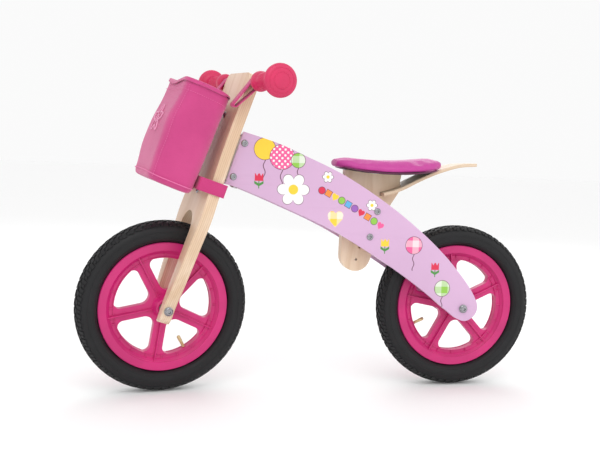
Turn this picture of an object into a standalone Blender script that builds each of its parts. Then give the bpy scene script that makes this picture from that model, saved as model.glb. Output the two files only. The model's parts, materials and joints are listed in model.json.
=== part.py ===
"""A child's balance bike: a plywood fork board, two side plates, two spoked wheels, a padded saddle and a fork bag.

Metres, +Z up, +X towards the rear wheel, +Y to the rider's right. The origin is on the ground, under the middle
of the bike's bounding box. The bike stands with its fork turned a little, by REST_STEER.
"""

import math

import bmesh
import bpy
from mathutils import Matrix

# Driving dimensions ---------------------------------------------------------------------------------------------
WHEEL_RADIUS = 0.152
WHEELBASE = 0.551
RAKE = math.radians(18.0)
REST_STEER = math.radians(9.9)
STEER_TO_BOARD = 0.050
FRAME_SHIFT = (-0.2768, 0.0086, 0.0)
GAP = 0.0003
RUNNING_GAP = 0.0001

# Fork board: heights run up the board from the front axle, and widths are measured from its middle.
BOARD_THICKNESS = 0.020
BOARD_TOP = 0.430
BOARD_TOP_RADIUS = 0.018
BOARD_OUTER = (
    (-0.0230, 0.0390), (-0.0120, 0.0460), (0.0120, 0.0466), (0.0500, 0.0550), (0.1200, 0.0660), (0.1700, 0.0730),
    (0.2100, 0.0690), (0.2600, 0.0630), (0.3200, 0.0615), (0.3800, 0.0640), (0.4120, 0.0660),
)
BOARD_EDGE = 0.0035
SLOT_FOOT = 0.0270
SLOT_RADIUS = 0.0330
SLOT_ARCH_CENTRE = 0.142

# Steering: the head block sits between the side plates, and two steel angles carry the fork board on one pin.
HEAD_LOW, HEAD_HIGH = 0.248, 0.326
HEAD_FRONT, HEAD_BACK = -0.0225, 0.022
BRACKET_THICKNESS = 0.003
BRACKET_HALF_WIDTH = 0.018
BRACKET_REACH = 0.012
BUSH_FLANGE = 0.0014
PIN_RADIUS = 0.004
LOWER_BOLT, UPPER_BOLT = 0.213, 0.352

# Handlebar and grips
BAR_HEIGHT = 0.4165
BAR_RADIUS, BAR_BORE = 0.0070, 0.0055
BAR_HALF = 0.192
GRIP_START, GRIP_END = 0.0900, 0.1990
GRIP_PROFILE = (
    (0.0000, 0.0130), (0.0025, 0.0160), (0.0090, 0.0172), (0.0170, 0.0160), (0.0260, 0.0132), (0.0500, 0.0128),
    (0.0760, 0.0130), (0.0830, 0.0145), (0.0870, 0.0230), (0.0905, 0.0266), (0.0960, 0.0270), (0.1010, 0.0252),
    (0.1060, 0.0180), (0.1090, 0.0000),
)

# Side plates, in the bike's side view: x from the front axle, z from the ground.
PLATE_OUTER, PLATE_THICKNESS = 0.050, 0.012
PLATE_OUTLINE = (
    (0.1290, 0.4610), (0.1870, 0.4445), (0.2340, 0.4260), (0.3140, 0.3910), (0.3980, 0.3410), (0.4640, 0.2920),
    (0.5080, 0.2530), (0.5400, 0.2190), (0.5660, 0.1860), (0.5795, 0.1580), (0.5740, 0.1390), (0.5570, 0.1290),
    (0.5370, 0.1350), (0.5120, 0.1535), (0.4640, 0.1900), (0.3990, 0.2335), (0.2980, 0.2915), (0.1970, 0.3355),
    (0.1260, 0.3630), (0.0994, 0.3700),
)
HEAD_BOLTS = ((0.1131, 0.3830), (0.1311, 0.4410))

# Seat board, saddle and tail strip, in the same side view
SEAT_THICKNESS = 0.018
SEAT_TOP_HOLE = (0.3760, 0.3290)
SEAT_HOLE_STEP = (-0.0060, -0.0230)
SEAT_TOP_FRONT, SEAT_TOP_BACK = 0.3250, 0.4330
SEAT_LOBE, SEAT_LOBE_RADIUS = (0.3510, 0.2440), 0.0285
SEAT_BACK_LOW = (0.4100, 0.3330)
SADDLE_FRONT, SADDLE_BACK, SADDLE_LOW = 0.302, 0.503, 0.3960
SADDLE_DIP = 0.011
BASE_THICKNESS, BASE_INSET, PAD_THICKNESS = 0.004, 0.018, 0.0155
STRIP_LINE = (
    (0.3940, 0.3590), (0.4130, 0.3645), (0.4320, 0.3720), (0.4560, 0.3845), (0.4800, 0.3958), (0.5060, 0.4062),
    (0.5400, 0.4160), (0.5775, 0.4190),
)
STRIP_THICKNESS, STRIP_HALF_WIDTH, STRIP_STEEPEST = 0.006, 0.030, math.radians(32.0)

# Wheels
TURN_STEPS = 40
RIM_RADIUS, RIM_HALF, RIM_FLOOR, RIM_INNER = 0.1145, 0.0145, 0.1042, 0.0990
WEB_INNER, WEB_HALF = 0.0870, 0.0070
SPOKE_HALF, SPOKES = 0.0110, 5
WINDOW_INNER_RADIUS, WINDOW_OUTER_RADIUS = 0.0100, 0.0100
HUB_RADIUS, BEARING_RADIUS, BEARING_WIDTH, AXLE_RADIUS = 0.0190, 0.0110, 0.0070, 0.0050
FRONT_HUB_HALF, REAR_HUB_HALF = 0.0240, 0.0345
FRONT_AXLE_SEAT, REAR_AXLE_SEAT = 0.0472, 0.0502
FRONT_SPOKE_ANGLE, REAR_SPOKE_ANGLE = math.radians(64.0), math.radians(25.0)
TYRE_OUTSIDE = (
    (0.1046, 0.0106), (0.1149, 0.0106), (0.1172, 0.0165), (0.1260, 0.0230), (0.1360, 0.0230), (0.1460, 0.0170),
    (0.1520, 0.0000),
)
TYRE_INSIDE = (
    (0.1476, 0.0000), (0.1425, 0.0135), (0.1310, 0.0192), (0.1215, 0.0135), (0.1165, 0.0076), (0.1046, 0.0076),
)
TUBE_CENTRE, TUBE_RADIUS, TUBE_WALL = 0.1313, 0.0132, 0.0012
VALVE_RADIUS, VALVE_LENGTH = 0.0032, 0.055

# Bag, in the board's own frame: distances in front of the board's middle plane
BAG_BACK, BAG_DEPTH, BAG_HALF_WIDTH = 0.0265, 0.0850, 0.0770
BAG_LOW, BAG_HIGH, BAG_LEAN = 0.1975, 0.3765, math.radians(2.5)
BAG_WALL, BAG_CORNER = 0.0020, 0.018
FLAP_THICKNESS = 0.0025
STRAP_THICKNESS = 0.0016
UPPER_STRAP_INNER, UPPER_STRAP_OUTER = 0.0685, 0.0885
LOWER_STRAP_LOW, LOWER_STRAP_HIGH = 0.2135, 0.2360

# Colours
PINK_PAINT = (0.68, 0.47, 0.65)
MAGENTA = (0.60, 0.05, 0.24)
BAG_PINK = (0.62, 0.10, 0.30)
SADDLE_PINK = (0.47, 0.06, 0.27)
GRIP_PINK = (0.55, 0.04, 0.16)
WOOD = (0.75, 0.55, 0.38)
BLACK = (0.02, 0.02, 0.022)
STEEL = (0.62, 0.62, 0.63)
BRASS = (0.55, 0.43, 0.22)


# Scene and small helpers ----------------------------------------------------------------------------------------
def clear_scene():
    """Empties the scene, then makes the two collections."""
    for obj in list(bpy.data.objects):
        bpy.data.objects.remove(obj, do_unlink=True)
    groups = []
    for name in ("balance_bike", "cutters"):
        group = bpy.data.collections.new(name)
        bpy.context.scene.collection.children.link(group)
        groups.append(group)
    return groups


PARTS, CUTTERS = clear_scene()


def material(name, colour, roughness, metallic=0.0):
    """A plain Principled material."""
    mat = bpy.data.materials.new(name)
    mat.use_nodes = True
    shader = mat.node_tree.nodes["Principled BSDF"]
    shader.inputs["Base Color"].default_value = (*colour, 1.0)
    shader.inputs["Roughness"].default_value = roughness
    shader.inputs["Metallic"].default_value = metallic
    return mat


def empty(name, parent=None, place=None):
    """A parent for the pieces that move together."""
    obj = bpy.data.objects.new(name, None)
    obj.empty_display_size = 0.05
    PARTS.objects.link(obj)
    obj.parent = parent
    obj.matrix_local = place or Matrix()
    return obj


def link(name, mesh, look, parent, place):
    """An object made from a mesh, dressed and placed under its parent."""
    obj = bpy.data.objects.new(name, mesh)
    PARTS.objects.link(obj)
    obj.parent = parent
    obj.matrix_local = place
    if look:
        mesh.materials.clear()
        mesh.materials.append(material(name, *look))
    return obj


def as_cutter(obj):
    """Moves an object to the cutters, out of the renders."""
    PARTS.objects.unlink(obj)
    CUTTERS.objects.link(obj)
    obj.hide_render = True
    obj.display_type = "WIRE"


def boolean(obj, other, operation="DIFFERENCE"):
    """Cuts obj with other, or joins other to it."""
    modifier = obj.modifiers.new(other.name, "BOOLEAN")
    modifier.operation = operation
    modifier.object = other
    as_cutter(other)


def mesh_from(build):
    """A mesh from a function that fills a bmesh."""
    shape = bmesh.new()
    build(shape)
    mesh = bpy.data.meshes.new("shape")
    shape.to_mesh(mesh)
    shape.free()
    return mesh


def shift(x, y, z):
    """A translation matrix."""
    return Matrix.Translation((x, y, z))


# Local +Z turned to the named direction
ALONG_Y = Matrix.Rotation(math.radians(-90.0), 4, "X")
ALONG_MINUS_Y = Matrix.Rotation(math.radians(90.0), 4, "X")
ALONG_MINUS_X = Matrix.Rotation(math.radians(-90.0), 4, "Y")
# A flat outline's (x, y) turned to (X, Z), and to (Y, Z)
SIDE_VIEW = Matrix.Rotation(math.radians(90.0), 4, "X")
FRONT_VIEW = Matrix(((0, 0, 1, 0), (1, 0, 0, 0), (0, 1, 0, 0), (0, 0, 0, 1)))


def through(points, per_span=6):
    """A smooth open line through the points (Catmull-Rom)."""
    line = []
    last = len(points) - 1
    for i in range(last):
        p0, p1, p2, p3 = (points[max(i - 1, 0)], points[i], points[i + 1], points[min(i + 2, last)])
        for k in range(per_span):
            t = k / per_span
            line.append(tuple(
                0.5 * (2 * b + (c - a) * t + (2 * a - 5 * b + 4 * c - d) * t * t + (3 * b - a - 3 * c + d) * t ** 3)
                for a, b, c, d in zip(p0, p1, p2, p3)
            ))
    line.append(tuple(points[-1]))
    return line


def arc(centre, radius, start, end, steps):
    """Points on an arc, angles in degrees."""
    return [
        (centre[0] + radius * math.cos(math.radians(start + (end - start) * k / steps)),
         centre[1] + radius * math.sin(math.radians(start + (end - start) * k / steps)))
        for k in range(steps + 1)
    ]


def circle(centre, radius, steps=12):
    """A closed circle's points."""
    return arc(centre, radius, 0.0, 360.0, steps)[:-1]


def hull(points):
    """The convex outline round the points, anticlockwise."""
    points = sorted(set(points))
    chains = []
    for run in (points, points[::-1]):
        chain = []
        for p in run:
            while len(chain) > 1:
                (ax, ay), (bx, by) = chain[-2], chain[-1]
                if (bx - ax) * (p[1] - ay) - (by - ay) * (p[0] - ax) > 0:
                    break
                chain.pop()
            chain.append(p)
        chains += chain[:-1]
    return chains


def flat(name, loops, thickness, look, parent, place, edge=0.0, edge_steps=2):
    """A flat outline with holes, as thick as asked and with its long edges rounded."""
    curve = bpy.data.curves.new(name, "CURVE")
    curve.dimensions = "2D"
    curve.fill_mode = "BOTH"
    curve.extrude = thickness / 2
    for loop in loops:
        spline = curve.splines.new("POLY")
        spline.points.add(len(loop) - 1)
        for point, (x, y) in zip(spline.points, loop):
            point.co = (x, y, 0.0, 1.0)
        spline.use_cyclic_u = True
    outline = bpy.data.objects.new(name + "_outline", curve)
    PARTS.objects.link(outline)
    graph = bpy.context.evaluated_depsgraph_get()
    mesh = bpy.data.meshes.new_from_object(outline.evaluated_get(graph))
    bpy.data.objects.remove(outline, do_unlink=True)
    shape = bmesh.new()
    shape.from_mesh(mesh)
    bmesh.ops.remove_doubles(shape, verts=shape.verts, dist=1e-6)
    shape.to_mesh(mesh)
    shape.free()
    mesh.name = name
    obj = link(name, mesh, look, parent, place)
    if edge:
        bevel = obj.modifiers.new("rounded edges", "BEVEL")
        bevel.width = edge
        bevel.segments = edge_steps
        bevel.limit_method = "ANGLE"
        bevel.angle_limit = math.radians(50.0)
    return obj


def turned(name, profile, look, parent, place, steps=16):
    """A turned shape: (radius, height) points down its outer side, closed if they end where they start."""
    ring = profile[0] == profile[-1]
    points = profile[:-1] if ring else profile
    mesh = bpy.data.meshes.new(name)
    pairs = [(i, i + 1) for i in range(len(points) - 1)]
    if ring:
        pairs.append((len(points) - 1, 0))
    mesh.from_pydata([(r, 0.0, z) for r, z in points], pairs, [])
    obj = link(name, mesh, look, parent, place)
    screw = obj.modifiers.new("turn", "SCREW")
    screw.steps = steps
    screw.render_steps = steps
    screw.use_merge_vertices = True
    screw.merge_threshold = 0.00001
    screw.use_smooth_shade = True
    return obj


def rod(radius, low, high):
    """The profile of a plain round rod."""
    return [(0.0, high), (radius, high), (radius, low), (0.0, low)]


def sleeve(inner, outer, low, high):
    """The profile of a ring or tube."""
    return [(inner, high), (outer, high), (outer, low), (inner, low), (inner, high)]


def bore(target, radius, low, high, parent, place, steps=16):
    """Drills a round hole."""
    boolean(target, turned(target.name + "_bore", rod(radius, low, high), None, parent, place, steps))


def block(name, low, high, look, parent, edge=0.0):
    """A box between two corners."""
    size = [b - a for a, b in zip(low, high)]
    middle = [(a + b) / 2 for a, b in zip(low, high)]
    mesh = mesh_from(lambda shape: bmesh.ops.create_cube(shape, size=1.0, matrix=Matrix.Diagonal((*size, 1.0))))
    obj = link(name, mesh, look, parent, shift(*middle))
    if edge:
        bevel = obj.modifiers.new("rounded edges", "BEVEL")
        bevel.width = edge
        bevel.segments = 2
    return obj


def bent_sheet(name, line, half_width, thickness, look, parent, across=4, lift=None):
    """A sheet that follows a side-view line, its width and its crown given by functions of the way along."""
    count = len(line)
    mesh = mesh_from(lambda shape: bmesh.ops.create_grid(shape, x_segments=count - 1, y_segments=across, size=1.0))
    for vertex in mesh.vertices:
        step = round((vertex.co.x + 1) / 2 * (count - 1))
        side = vertex.co.y
        way = step / (count - 1)
        x, z = line[step]
        rise = lift(way, side) if lift else 0.0
        vertex.co = (x, side * half_width(way), z + rise)
    obj = link(name, mesh, look, parent, Matrix())
    solid = obj.modifiers.new("thickness", "SOLIDIFY")
    solid.thickness = thickness
    solid.offset = 1.0
    solid.use_even_offset = True
    return obj


# Fasteners ------------------------------------------------------------------------------------------------------
BOLT_RADIUS, BOLT_HOLE, BOLT_HEAD = 0.0030, 0.0046, 0.0062
NUT_BARREL, NUT_REACH, HEAD_HEIGHT = 0.0042, 0.0090, 0.0020


def sleeve_bolt(name, grip, parent, place):
    """A pan-headed bolt at the place's origin, with a capped sleeve nut grip further along +Z."""
    tip = grip - 0.002
    turned(name, [(0.0, tip), (BOLT_RADIUS, tip), (BOLT_RADIUS, -GAP), (BOLT_HEAD, -GAP),
                  (BOLT_HEAD * 0.7, -HEAD_HEIGHT), (0.0, -HEAD_HEIGHT)], (STEEL, 0.3, 1.0), parent, place, 12)
    inside = BOLT_RADIUS + GAP
    face = grip + GAP
    turned(name + "_nut", [(0.0, face + HEAD_HEIGHT), (BOLT_HEAD * 0.75, face + HEAD_HEIGHT), (BOLT_HEAD, face),
                           (NUT_BARREL, face), (NUT_BARREL, grip - NUT_REACH), (inside, grip - NUT_REACH),
                           (inside, tip + GAP), (0.0, tip + GAP)], (STEEL, 0.3, 1.0), parent, place, 12)


def wood_screw(name, length, parent, place, radius=0.0020):
    """A countersunk screw that points down -Z from the place's origin."""
    turned(name, [(0.0, 0.0), (radius * 2, 0.0), (radius, -0.002), (radius, 0.003 - length), (0.0, -length)],
           (STEEL, 0.35, 1.0), parent, place, 12)


# Wheels ---------------------------------------------------------------------------------------------------------
def polar(radius, angle):
    """A point at a radius and an angle in radians."""
    return (radius * math.cos(angle), radius * math.sin(angle))


def window(angle):
    """One opening between two spokes: the hull of three round corners and an arc of the web's inner edge."""
    half = math.pi / SPOKES
    inner = (SPOKE_HALF + WINDOW_INNER_RADIUS) / math.sin(half)
    outer = WEB_INNER - WINDOW_OUTER_RADIUS
    spread = half - math.asin((SPOKE_HALF + WINDOW_OUTER_RADIUS) / outer)
    points = circle(polar(inner, angle), WINDOW_INNER_RADIUS, 10)
    for side in (-1, 1):
        points += circle(polar(outer, angle + side * spread), WINDOW_OUTER_RADIUS, 10)
    edge = arc((0.0, 0.0), WEB_INNER, math.degrees(angle - spread), math.degrees(angle + spread), 5)
    return hull(points + edge)


def rim(name, hub_half, first_spoke, valve, axis):
    """A moulded wheel: channel rim, web, five spokes and a hub with a bearing seat at each end."""
    channel = 0.0110
    band = [
        (RIM_RADIUS, RIM_HALF), (RIM_RADIUS, channel), (RIM_FLOOR, channel), (RIM_FLOOR, -channel),
        (RIM_RADIUS, -channel), (RIM_RADIUS, -RIM_HALF), (RIM_INNER, -RIM_HALF), (RIM_INNER, RIM_HALF),
        (RIM_RADIUS, RIM_HALF),
    ]
    wheel = turned(name, band, (MAGENTA, 0.35), axis, ALONG_Y, TURN_STEPS)
    turn = math.tau / SPOKES
    windows = [window(first_spoke + turn * (k + 0.5)) for k in range(SPOKES)]
    web = flat(name + "_web", [circle((0.0, 0.0), (RIM_INNER + RIM_FLOOR) / 2, TURN_STEPS)] + windows, 2 * WEB_HALF,
               None, axis, SIDE_VIEW)
    boolean(wheel, web, "UNION")
    hub = turned(name + "_hub", rod(HUB_RADIUS, -hub_half, hub_half), None, axis, ALONG_Y, 20)
    boolean(wheel, hub, "UNION")
    bore(wheel, AXLE_RADIUS + 0.001, -2 * hub_half, 2 * hub_half, axis, ALONG_Y)
    for side in (-1, 1):
        seat = side * (hub_half - BEARING_WIDTH)
        low, high = sorted((seat, side * 2 * hub_half))
        bore(wheel, BEARING_RADIUS + GAP, low, high, axis, ALONG_Y)
    bore(wheel, VALVE_RADIUS + GAP, WEB_INNER - 0.005, RIM_FLOOR + 0.005, axis, valve, 12)
    return wheel


def valve_place(first_spoke, window_number):
    """The valve's frame: +Z outwards along the radius through the middle of a window."""
    angle = first_spoke + math.tau / SPOKES * (window_number + 0.5)
    return Matrix.Rotation(math.radians(90.0) - angle, 4, "Y")


def wheel(prefix, hub_half, first_spoke, valve_window, axis):
    """Rim, tyre, inner tube, valve and two bearings on one axis."""
    place = valve_place(first_spoke, valve_window)
    rim(prefix + "_rim", hub_half, first_spoke, place, axis)
    section = list(TYRE_OUTSIDE) + [(r, -y) for r, y in TYRE_OUTSIDE[-2::-1]]
    section += [(r, -y) for r, y in TYRE_INSIDE][::-1] + [(r, y) for r, y in TYRE_INSIDE][1:]
    section.append(section[0])
    turned(prefix + "_tyre", section, (BLACK, 0.8), axis, ALONG_Y, TURN_STEPS)
    tube = turned(prefix + "_tube", ring_section(TUBE_RADIUS), (BLACK, 0.6), axis, ALONG_Y, TURN_STEPS)
    hollow = ring_section(TUBE_RADIUS - TUBE_WALL)
    boolean(tube, turned(prefix + "_tube_inside", hollow, None, axis, ALONG_Y, TURN_STEPS))
    valve_top = (TUBE_CENTRE - TUBE_RADIUS) * math.cos(math.pi / TURN_STEPS) - GAP
    bore(tube, VALVE_RADIUS * 0.6, valve_top, TUBE_CENTRE, axis, place, 12)
    turned(prefix + "_valve", rod(VALVE_RADIUS, valve_top - VALVE_LENGTH, valve_top), (BRASS, 0.35, 1.0),
           axis, place, 16)
    for side, name in ((-1, "left"), (1, "right")):
        low, high = sorted((side * (hub_half - BEARING_WIDTH + GAP), side * hub_half))
        turned(f"{prefix}_bearing_{name}", sleeve(AXLE_RADIUS + RUNNING_GAP, BEARING_RADIUS, low, high),
               (STEEL, 0.3, 1.0), axis, ALONG_Y)


def ring_section(radius):
    """A round section at the tube's centre line, run so that a turn faces outwards."""
    points = [(TUBE_CENTRE + radius * math.cos(a), radius * math.sin(a))
              for a in (math.tau * -k / 8 for k in range(8))]
    return points + points[:1]


def axle(prefix, seat, parent, place):
    """A fixed axle with a domed nut at each end, seat being where the nuts bear."""
    nut_height = 0.0065
    turned(prefix + "_axle", rod(AXLE_RADIUS, -seat - nut_height / 2, seat + nut_height / 2),
           (STEEL, 0.3, 1.0), parent, place @ ALONG_Y)
    for side, name in ((ALONG_MINUS_Y, "left"), (ALONG_Y, "right")):
        inside = AXLE_RADIUS + GAP
        depth = seat + nut_height / 2 + GAP
        turned(f"{prefix}_axle_nut_{name}",
               [(0.0, seat + nut_height), (0.0062, seat + nut_height), (0.0080, seat + GAP), (inside, seat + GAP),
                (inside, depth), (0.0, depth)], (STEEL, 0.3, 1.0), parent, place @ side, 16)


# The frame: everything that stays with the side plates -----------------------------------------------------------
def side_plates(root):
    """Two painted plates on edge, one each side, with holes for the bolts and the rear axle."""
    holes = [circle(centre, BOLT_HOLE) for centre in HEAD_BOLTS + seat_bolt_holes()]
    holes.append(circle((WHEELBASE, WHEEL_RADIUS), AXLE_RADIUS + GAP))
    outline = through(PLATE_OUTLINE, 4)
    middle = PLATE_OUTER - PLATE_THICKNESS / 2
    for side, name in ((-1, "left"), (1, "right")):
        flat(f"side_plate_{name}", [outline] + holes, PLATE_THICKNESS, (PINK_PAINT, 0.4), root,
             shift(0.0, side * middle, 0.0) @ SIDE_VIEW)


def seat_hole(step):
    """The seat board's hole, counted down from the top one."""
    return tuple(a + b * step for a, b in zip(SEAT_TOP_HOLE, SEAT_HOLE_STEP))


def seat_bolt_holes():
    """The two holes that the bolts are in."""
    return (seat_hole(0), seat_hole(2))


def seat(root):
    """Seat board with its spare holes, the two spacers, the saddle and the tail strip."""
    front = SEAT_LOBE[0] - SEAT_LOBE_RADIUS
    lobe = arc(SEAT_LOBE, SEAT_LOBE_RADIUS, 342.0, 180.0, 14)
    mouth = through(STRIP_LINE, 4)[:9]
    mouth[0] = (mouth[0][0] - 6 * GAP, mouth[0][1])
    slot = STRIP_THICKNESS / 2 / math.cos(STRIP_STEEPEST) + GAP
    upper = [(x, z + slot) for x, z in mouth]
    lower = [(x, z - slot) for x, z in mouth]
    top = [(x, z - GAP) for x, z in saddle_line(0.0) if SEAT_TOP_FRONT < x < SEAT_TOP_BACK]
    top = [(SEAT_TOP_FRONT, top[0][1])] + top + [(SEAT_TOP_BACK, top[-1][1])]
    outline = lobe + [(front, SEAT_LOBE[1])] + top + [(0.4305, 0.3835)]
    outline += upper[::-1] + lower + [SEAT_BACK_LOW]
    clean = [p for i, p in enumerate(outline) if p != outline[i - 1]]
    holes = [circle(seat_hole(step), BOLT_HOLE if step in (0, 2) else 0.0026, 16) for step in range(5)]
    board = flat("seat_board", [clean] + holes, SEAT_THICKNESS, (WOOD, 0.55), root, SIDE_VIEW)
    spacer_depth = PLATE_OUTER - PLATE_THICKNESS - SEAT_THICKNESS / 2 - 2 * GAP
    ends = [seat_hole(0), seat_hole(2)]
    shape = hull([p for end in ends for p in circle(end, 0.014, 16)])
    for side, name in ((-1, "left"), (1, "right")):
        middle = side * (SEAT_THICKNESS / 2 + GAP + spacer_depth / 2)
        flat(f"seat_spacer_{name}", [shape] + [circle(end, BOLT_HOLE) for end in ends], spacer_depth, (WOOD, 0.6),
             root, shift(0.0, middle, 0.0) @ SIDE_VIEW)
    for end, name in zip(ends, ("upper", "lower")):
        sleeve_bolt(f"seat_bolt_{name}", 2 * PLATE_OUTER, root, shift(end[0], PLATE_OUTER, end[1]) @ ALONG_MINUS_Y)
    saddle(root, board)
    strip = bent_sheet("tail_strip", through(STRIP_LINE, 4), lambda way: STRIP_HALF_WIDTH, STRIP_THICKNESS,
                       (WOOD, 0.5), root, 2)
    strip.modifiers["thickness"].offset = 0.0


def saddle_line(height, inset=0.0):
    """The saddle's side-view line, dipped in the middle, height above its lowest point."""
    middle = (SADDLE_FRONT + SADDLE_BACK) / 2
    half = (SADDLE_BACK - SADDLE_FRONT) / 2
    reach = 1.0 - inset / half
    steps = 14
    return [(middle + half * t, SADDLE_LOW + height + SADDLE_DIP * t * t)
            for t in (reach * (-1 + 2 * k / steps) for k in range(steps + 1))]


def saddle_half_width(way):
    """A narrow nose and a broad back with round ends."""
    body = 0.042 + 0.022 * math.sin(math.pi / 2 * min(way / 0.7, 1.0)) ** 2
    end = 1.0 - 0.45 * abs(2 * way - 1) ** 5
    return body * end


def base_half_width(way):
    """The base is narrower than its pad."""
    return 0.9 * saddle_half_width(way)


def saddle(root, board):
    """A thin black base with a padded top, screwed down into the seat board."""
    base = bent_sheet("saddle_base", saddle_line(0.0, BASE_INSET), base_half_width, BASE_THICKNESS,
                      (BLACK, 0.5), root)
    pad = bent_sheet("saddle_pad", saddle_line(BASE_THICKNESS + GAP), saddle_half_width, PAD_THICKNESS,
                     (SADDLE_PINK, 0.4), root)
    pad.modifiers["thickness"].use_even_offset = False
    for x, height, name in ((0.355, 0.0019, "front"), (0.415, 0.0, "rear")):
        place = shift(x, 0.0, SADDLE_LOW + BASE_THICKNESS + height)
        wood_screw(f"saddle_screw_{name}", 0.024, root, place)
        bore(base, 0.0043, -0.010, 0.010, root, place, 12)
        bore(board, 0.0023, -0.0245, 0.010, root, place, 12)


def head(root, steering_straight):
    """The head block between the plates, its two bushes and the two bolts that hold it."""
    half = PLATE_OUTER - PLATE_THICKNESS - GAP
    piece = block("head_block", (HEAD_FRONT, -half, HEAD_LOW), (HEAD_BACK, half, HEAD_HIGH), (WOOD, 0.6),
                  steering_straight)
    bush = 0.0070
    bore(piece, bush + GAP, HEAD_LOW - 0.01, HEAD_HIGH + 0.01, steering_straight, Matrix())
    for face, inward, name in ((HEAD_LOW, 1, "lower"), (HEAD_HIGH, -1, "upper")):
        low, high = sorted((face - inward * GAP, face - inward * (GAP + BUSH_FLANGE)))
        deep = face + inward * 0.030
        inside = PIN_RADIUS + RUNNING_GAP
        if inward > 0:
            profile = [(inside, deep), (bush, deep), (bush, high), (0.0105, high), (0.0105, low), (inside, low),
                       (inside, deep)]
        else:
            profile = [(inside, high), (0.0105, high), (0.0105, low), (bush, low), (bush, deep), (inside, deep),
                       (inside, high)]
        turned(f"steering_bush_{name}", profile, (BLACK, 0.5), steering_straight, Matrix())
    for (x, z), name in zip(HEAD_BOLTS, ("lower", "upper")):
        place = shift(x, PLATE_OUTER, z) @ ALONG_MINUS_Y
        bore(piece, BOLT_HOLE, -0.01, 2 * PLATE_OUTER + 0.01, root, place)
        sleeve_bolt(f"head_bolt_{name}", 2 * PLATE_OUTER, root, place)


# The steering: everything that turns with the fork board ---------------------------------------------------------
def fork_board(steering):
    """One thick plywood board: two legs round the wheel, an arched slot and a round-cornered top."""
    right = [(w, h) for h, w in through(BOARD_OUTER, 3)]
    top_width = BOARD_OUTER[-1][1]
    corner = (top_width - BOARD_TOP_RADIUS, BOARD_TOP - BOARD_TOP_RADIUS)
    right += arc(corner, BOARD_TOP_RADIUS, 0.0, 90.0, 5)[1:]
    foot = BOARD_OUTER[0]
    slot_foot = [(SLOT_FOOT + 0.001, foot[0]), (SLOT_FOOT, 0.0)]
    inner_right = slot_foot + arc((0.0, SLOT_ARCH_CENTRE), SLOT_RADIUS, 0.0, 90.0, 8)
    inner_left = [(-x, y) for x, y in inner_right[:-1]][::-1]
    left = [(-x, y) for x, y in right][::-1]
    outline = right + left + (inner_right + inner_left)[::-1]
    board = flat("fork_board", [outline], BOARD_THICKNESS, (WOOD, 0.5), steering,
                 shift(-STEER_TO_BOARD, 0.0, 0.0) @ FRONT_VIEW, BOARD_EDGE, 2)
    across = ALONG_Y
    bore(board, BAR_RADIUS + GAP, -0.1, 0.1, steering, shift(-STEER_TO_BOARD, 0.0, BAR_HEIGHT) @ across)
    bore(board, AXLE_RADIUS + GAP, -0.1, 0.1, steering, shift(-STEER_TO_BOARD, 0.0, 0.0) @ across)
    for height in (LOWER_BOLT, UPPER_BOLT):
        bore(board, BOLT_HOLE, -0.05, 0.05, steering, shift(-STEER_TO_BOARD, 0.0, height) @ ALONG_MINUS_X)


def brackets(steering):
    """Two steel angles bolted to the back of the board, and the pin that joins them to the head block."""
    back = -STEER_TO_BOARD + BOARD_THICKNESS / 2 + GAP
    thick = BRACKET_THICKNESS
    spacing = 2 * GAP + BUSH_FLANGE
    low_top = HEAD_LOW - spacing
    high_base = HEAD_HIGH + spacing
    ends = (("lower", low_top, -thick, LOWER_BOLT - 0.010), ("upper", high_base, thick, UPPER_BOLT + 0.010))
    for name, face, step, end in ends:
        outline = [(back, face), (BRACKET_REACH, face), (BRACKET_REACH, face + step), (back + thick, face + step),
                   (back + thick, end), (back, end)]
        angle = flat(f"steering_bracket_{name}", [outline], 2 * BRACKET_HALF_WIDTH, (STEEL, 0.35, 1.0), steering,
                     SIDE_VIEW)
        bore(angle, PIN_RADIUS + GAP, face - 0.01, face + 0.01, steering, Matrix())
        bolt_height = LOWER_BOLT if name == "lower" else UPPER_BOLT
        bolt_place = shift(back + thick, 0.0, bolt_height) @ ALONG_MINUS_X
        bore(angle, BOLT_HOLE, -0.01, 0.01, steering, bolt_place)
        sleeve_bolt(f"bracket_bolt_{name}", BOARD_THICKNESS + thick + GAP, steering, bolt_place)
    top = high_base + thick + GAP
    bottom = low_top - thick - GAP
    turned("steering_pin", [(0.0, top + 0.005), (0.0065, top + 0.005), (0.0065, top), (PIN_RADIUS, top),
                            (PIN_RADIUS, bottom - 0.0055), (0.0, bottom - 0.0055)], (STEEL, 0.3, 1.0),
           steering, Matrix())
    turned("steering_pin_nut", sleeve(PIN_RADIUS + GAP, 0.0065, bottom - 0.005, bottom), (STEEL, 0.3, 1.0),
           steering, Matrix(), 16)


def handlebar(steering):
    """A steel tube through the board with a flanged grip on each end."""
    place = shift(-STEER_TO_BOARD, 0.0, BAR_HEIGHT)
    turned("handlebar", sleeve(BAR_BORE, BAR_RADIUS, -BAR_HALF, BAR_HALF), (STEEL, 0.3, 1.0), steering,
           place @ ALONG_Y)
    inside = BAR_RADIUS + GAP
    for side, name in ((ALONG_MINUS_Y, "left"), (ALONG_Y, "right")):
        outer = [(r, GRIP_START + along) for along, r in GRIP_PROFILE][::-1]
        profile = outer + [(inside, GRIP_START), (inside, BAR_HALF + GAP), (0.0, BAR_HALF + GAP)]
        turned(f"grip_{name}", profile, (GRIP_PINK, 0.45), steering, place @ side, 20)


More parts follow.
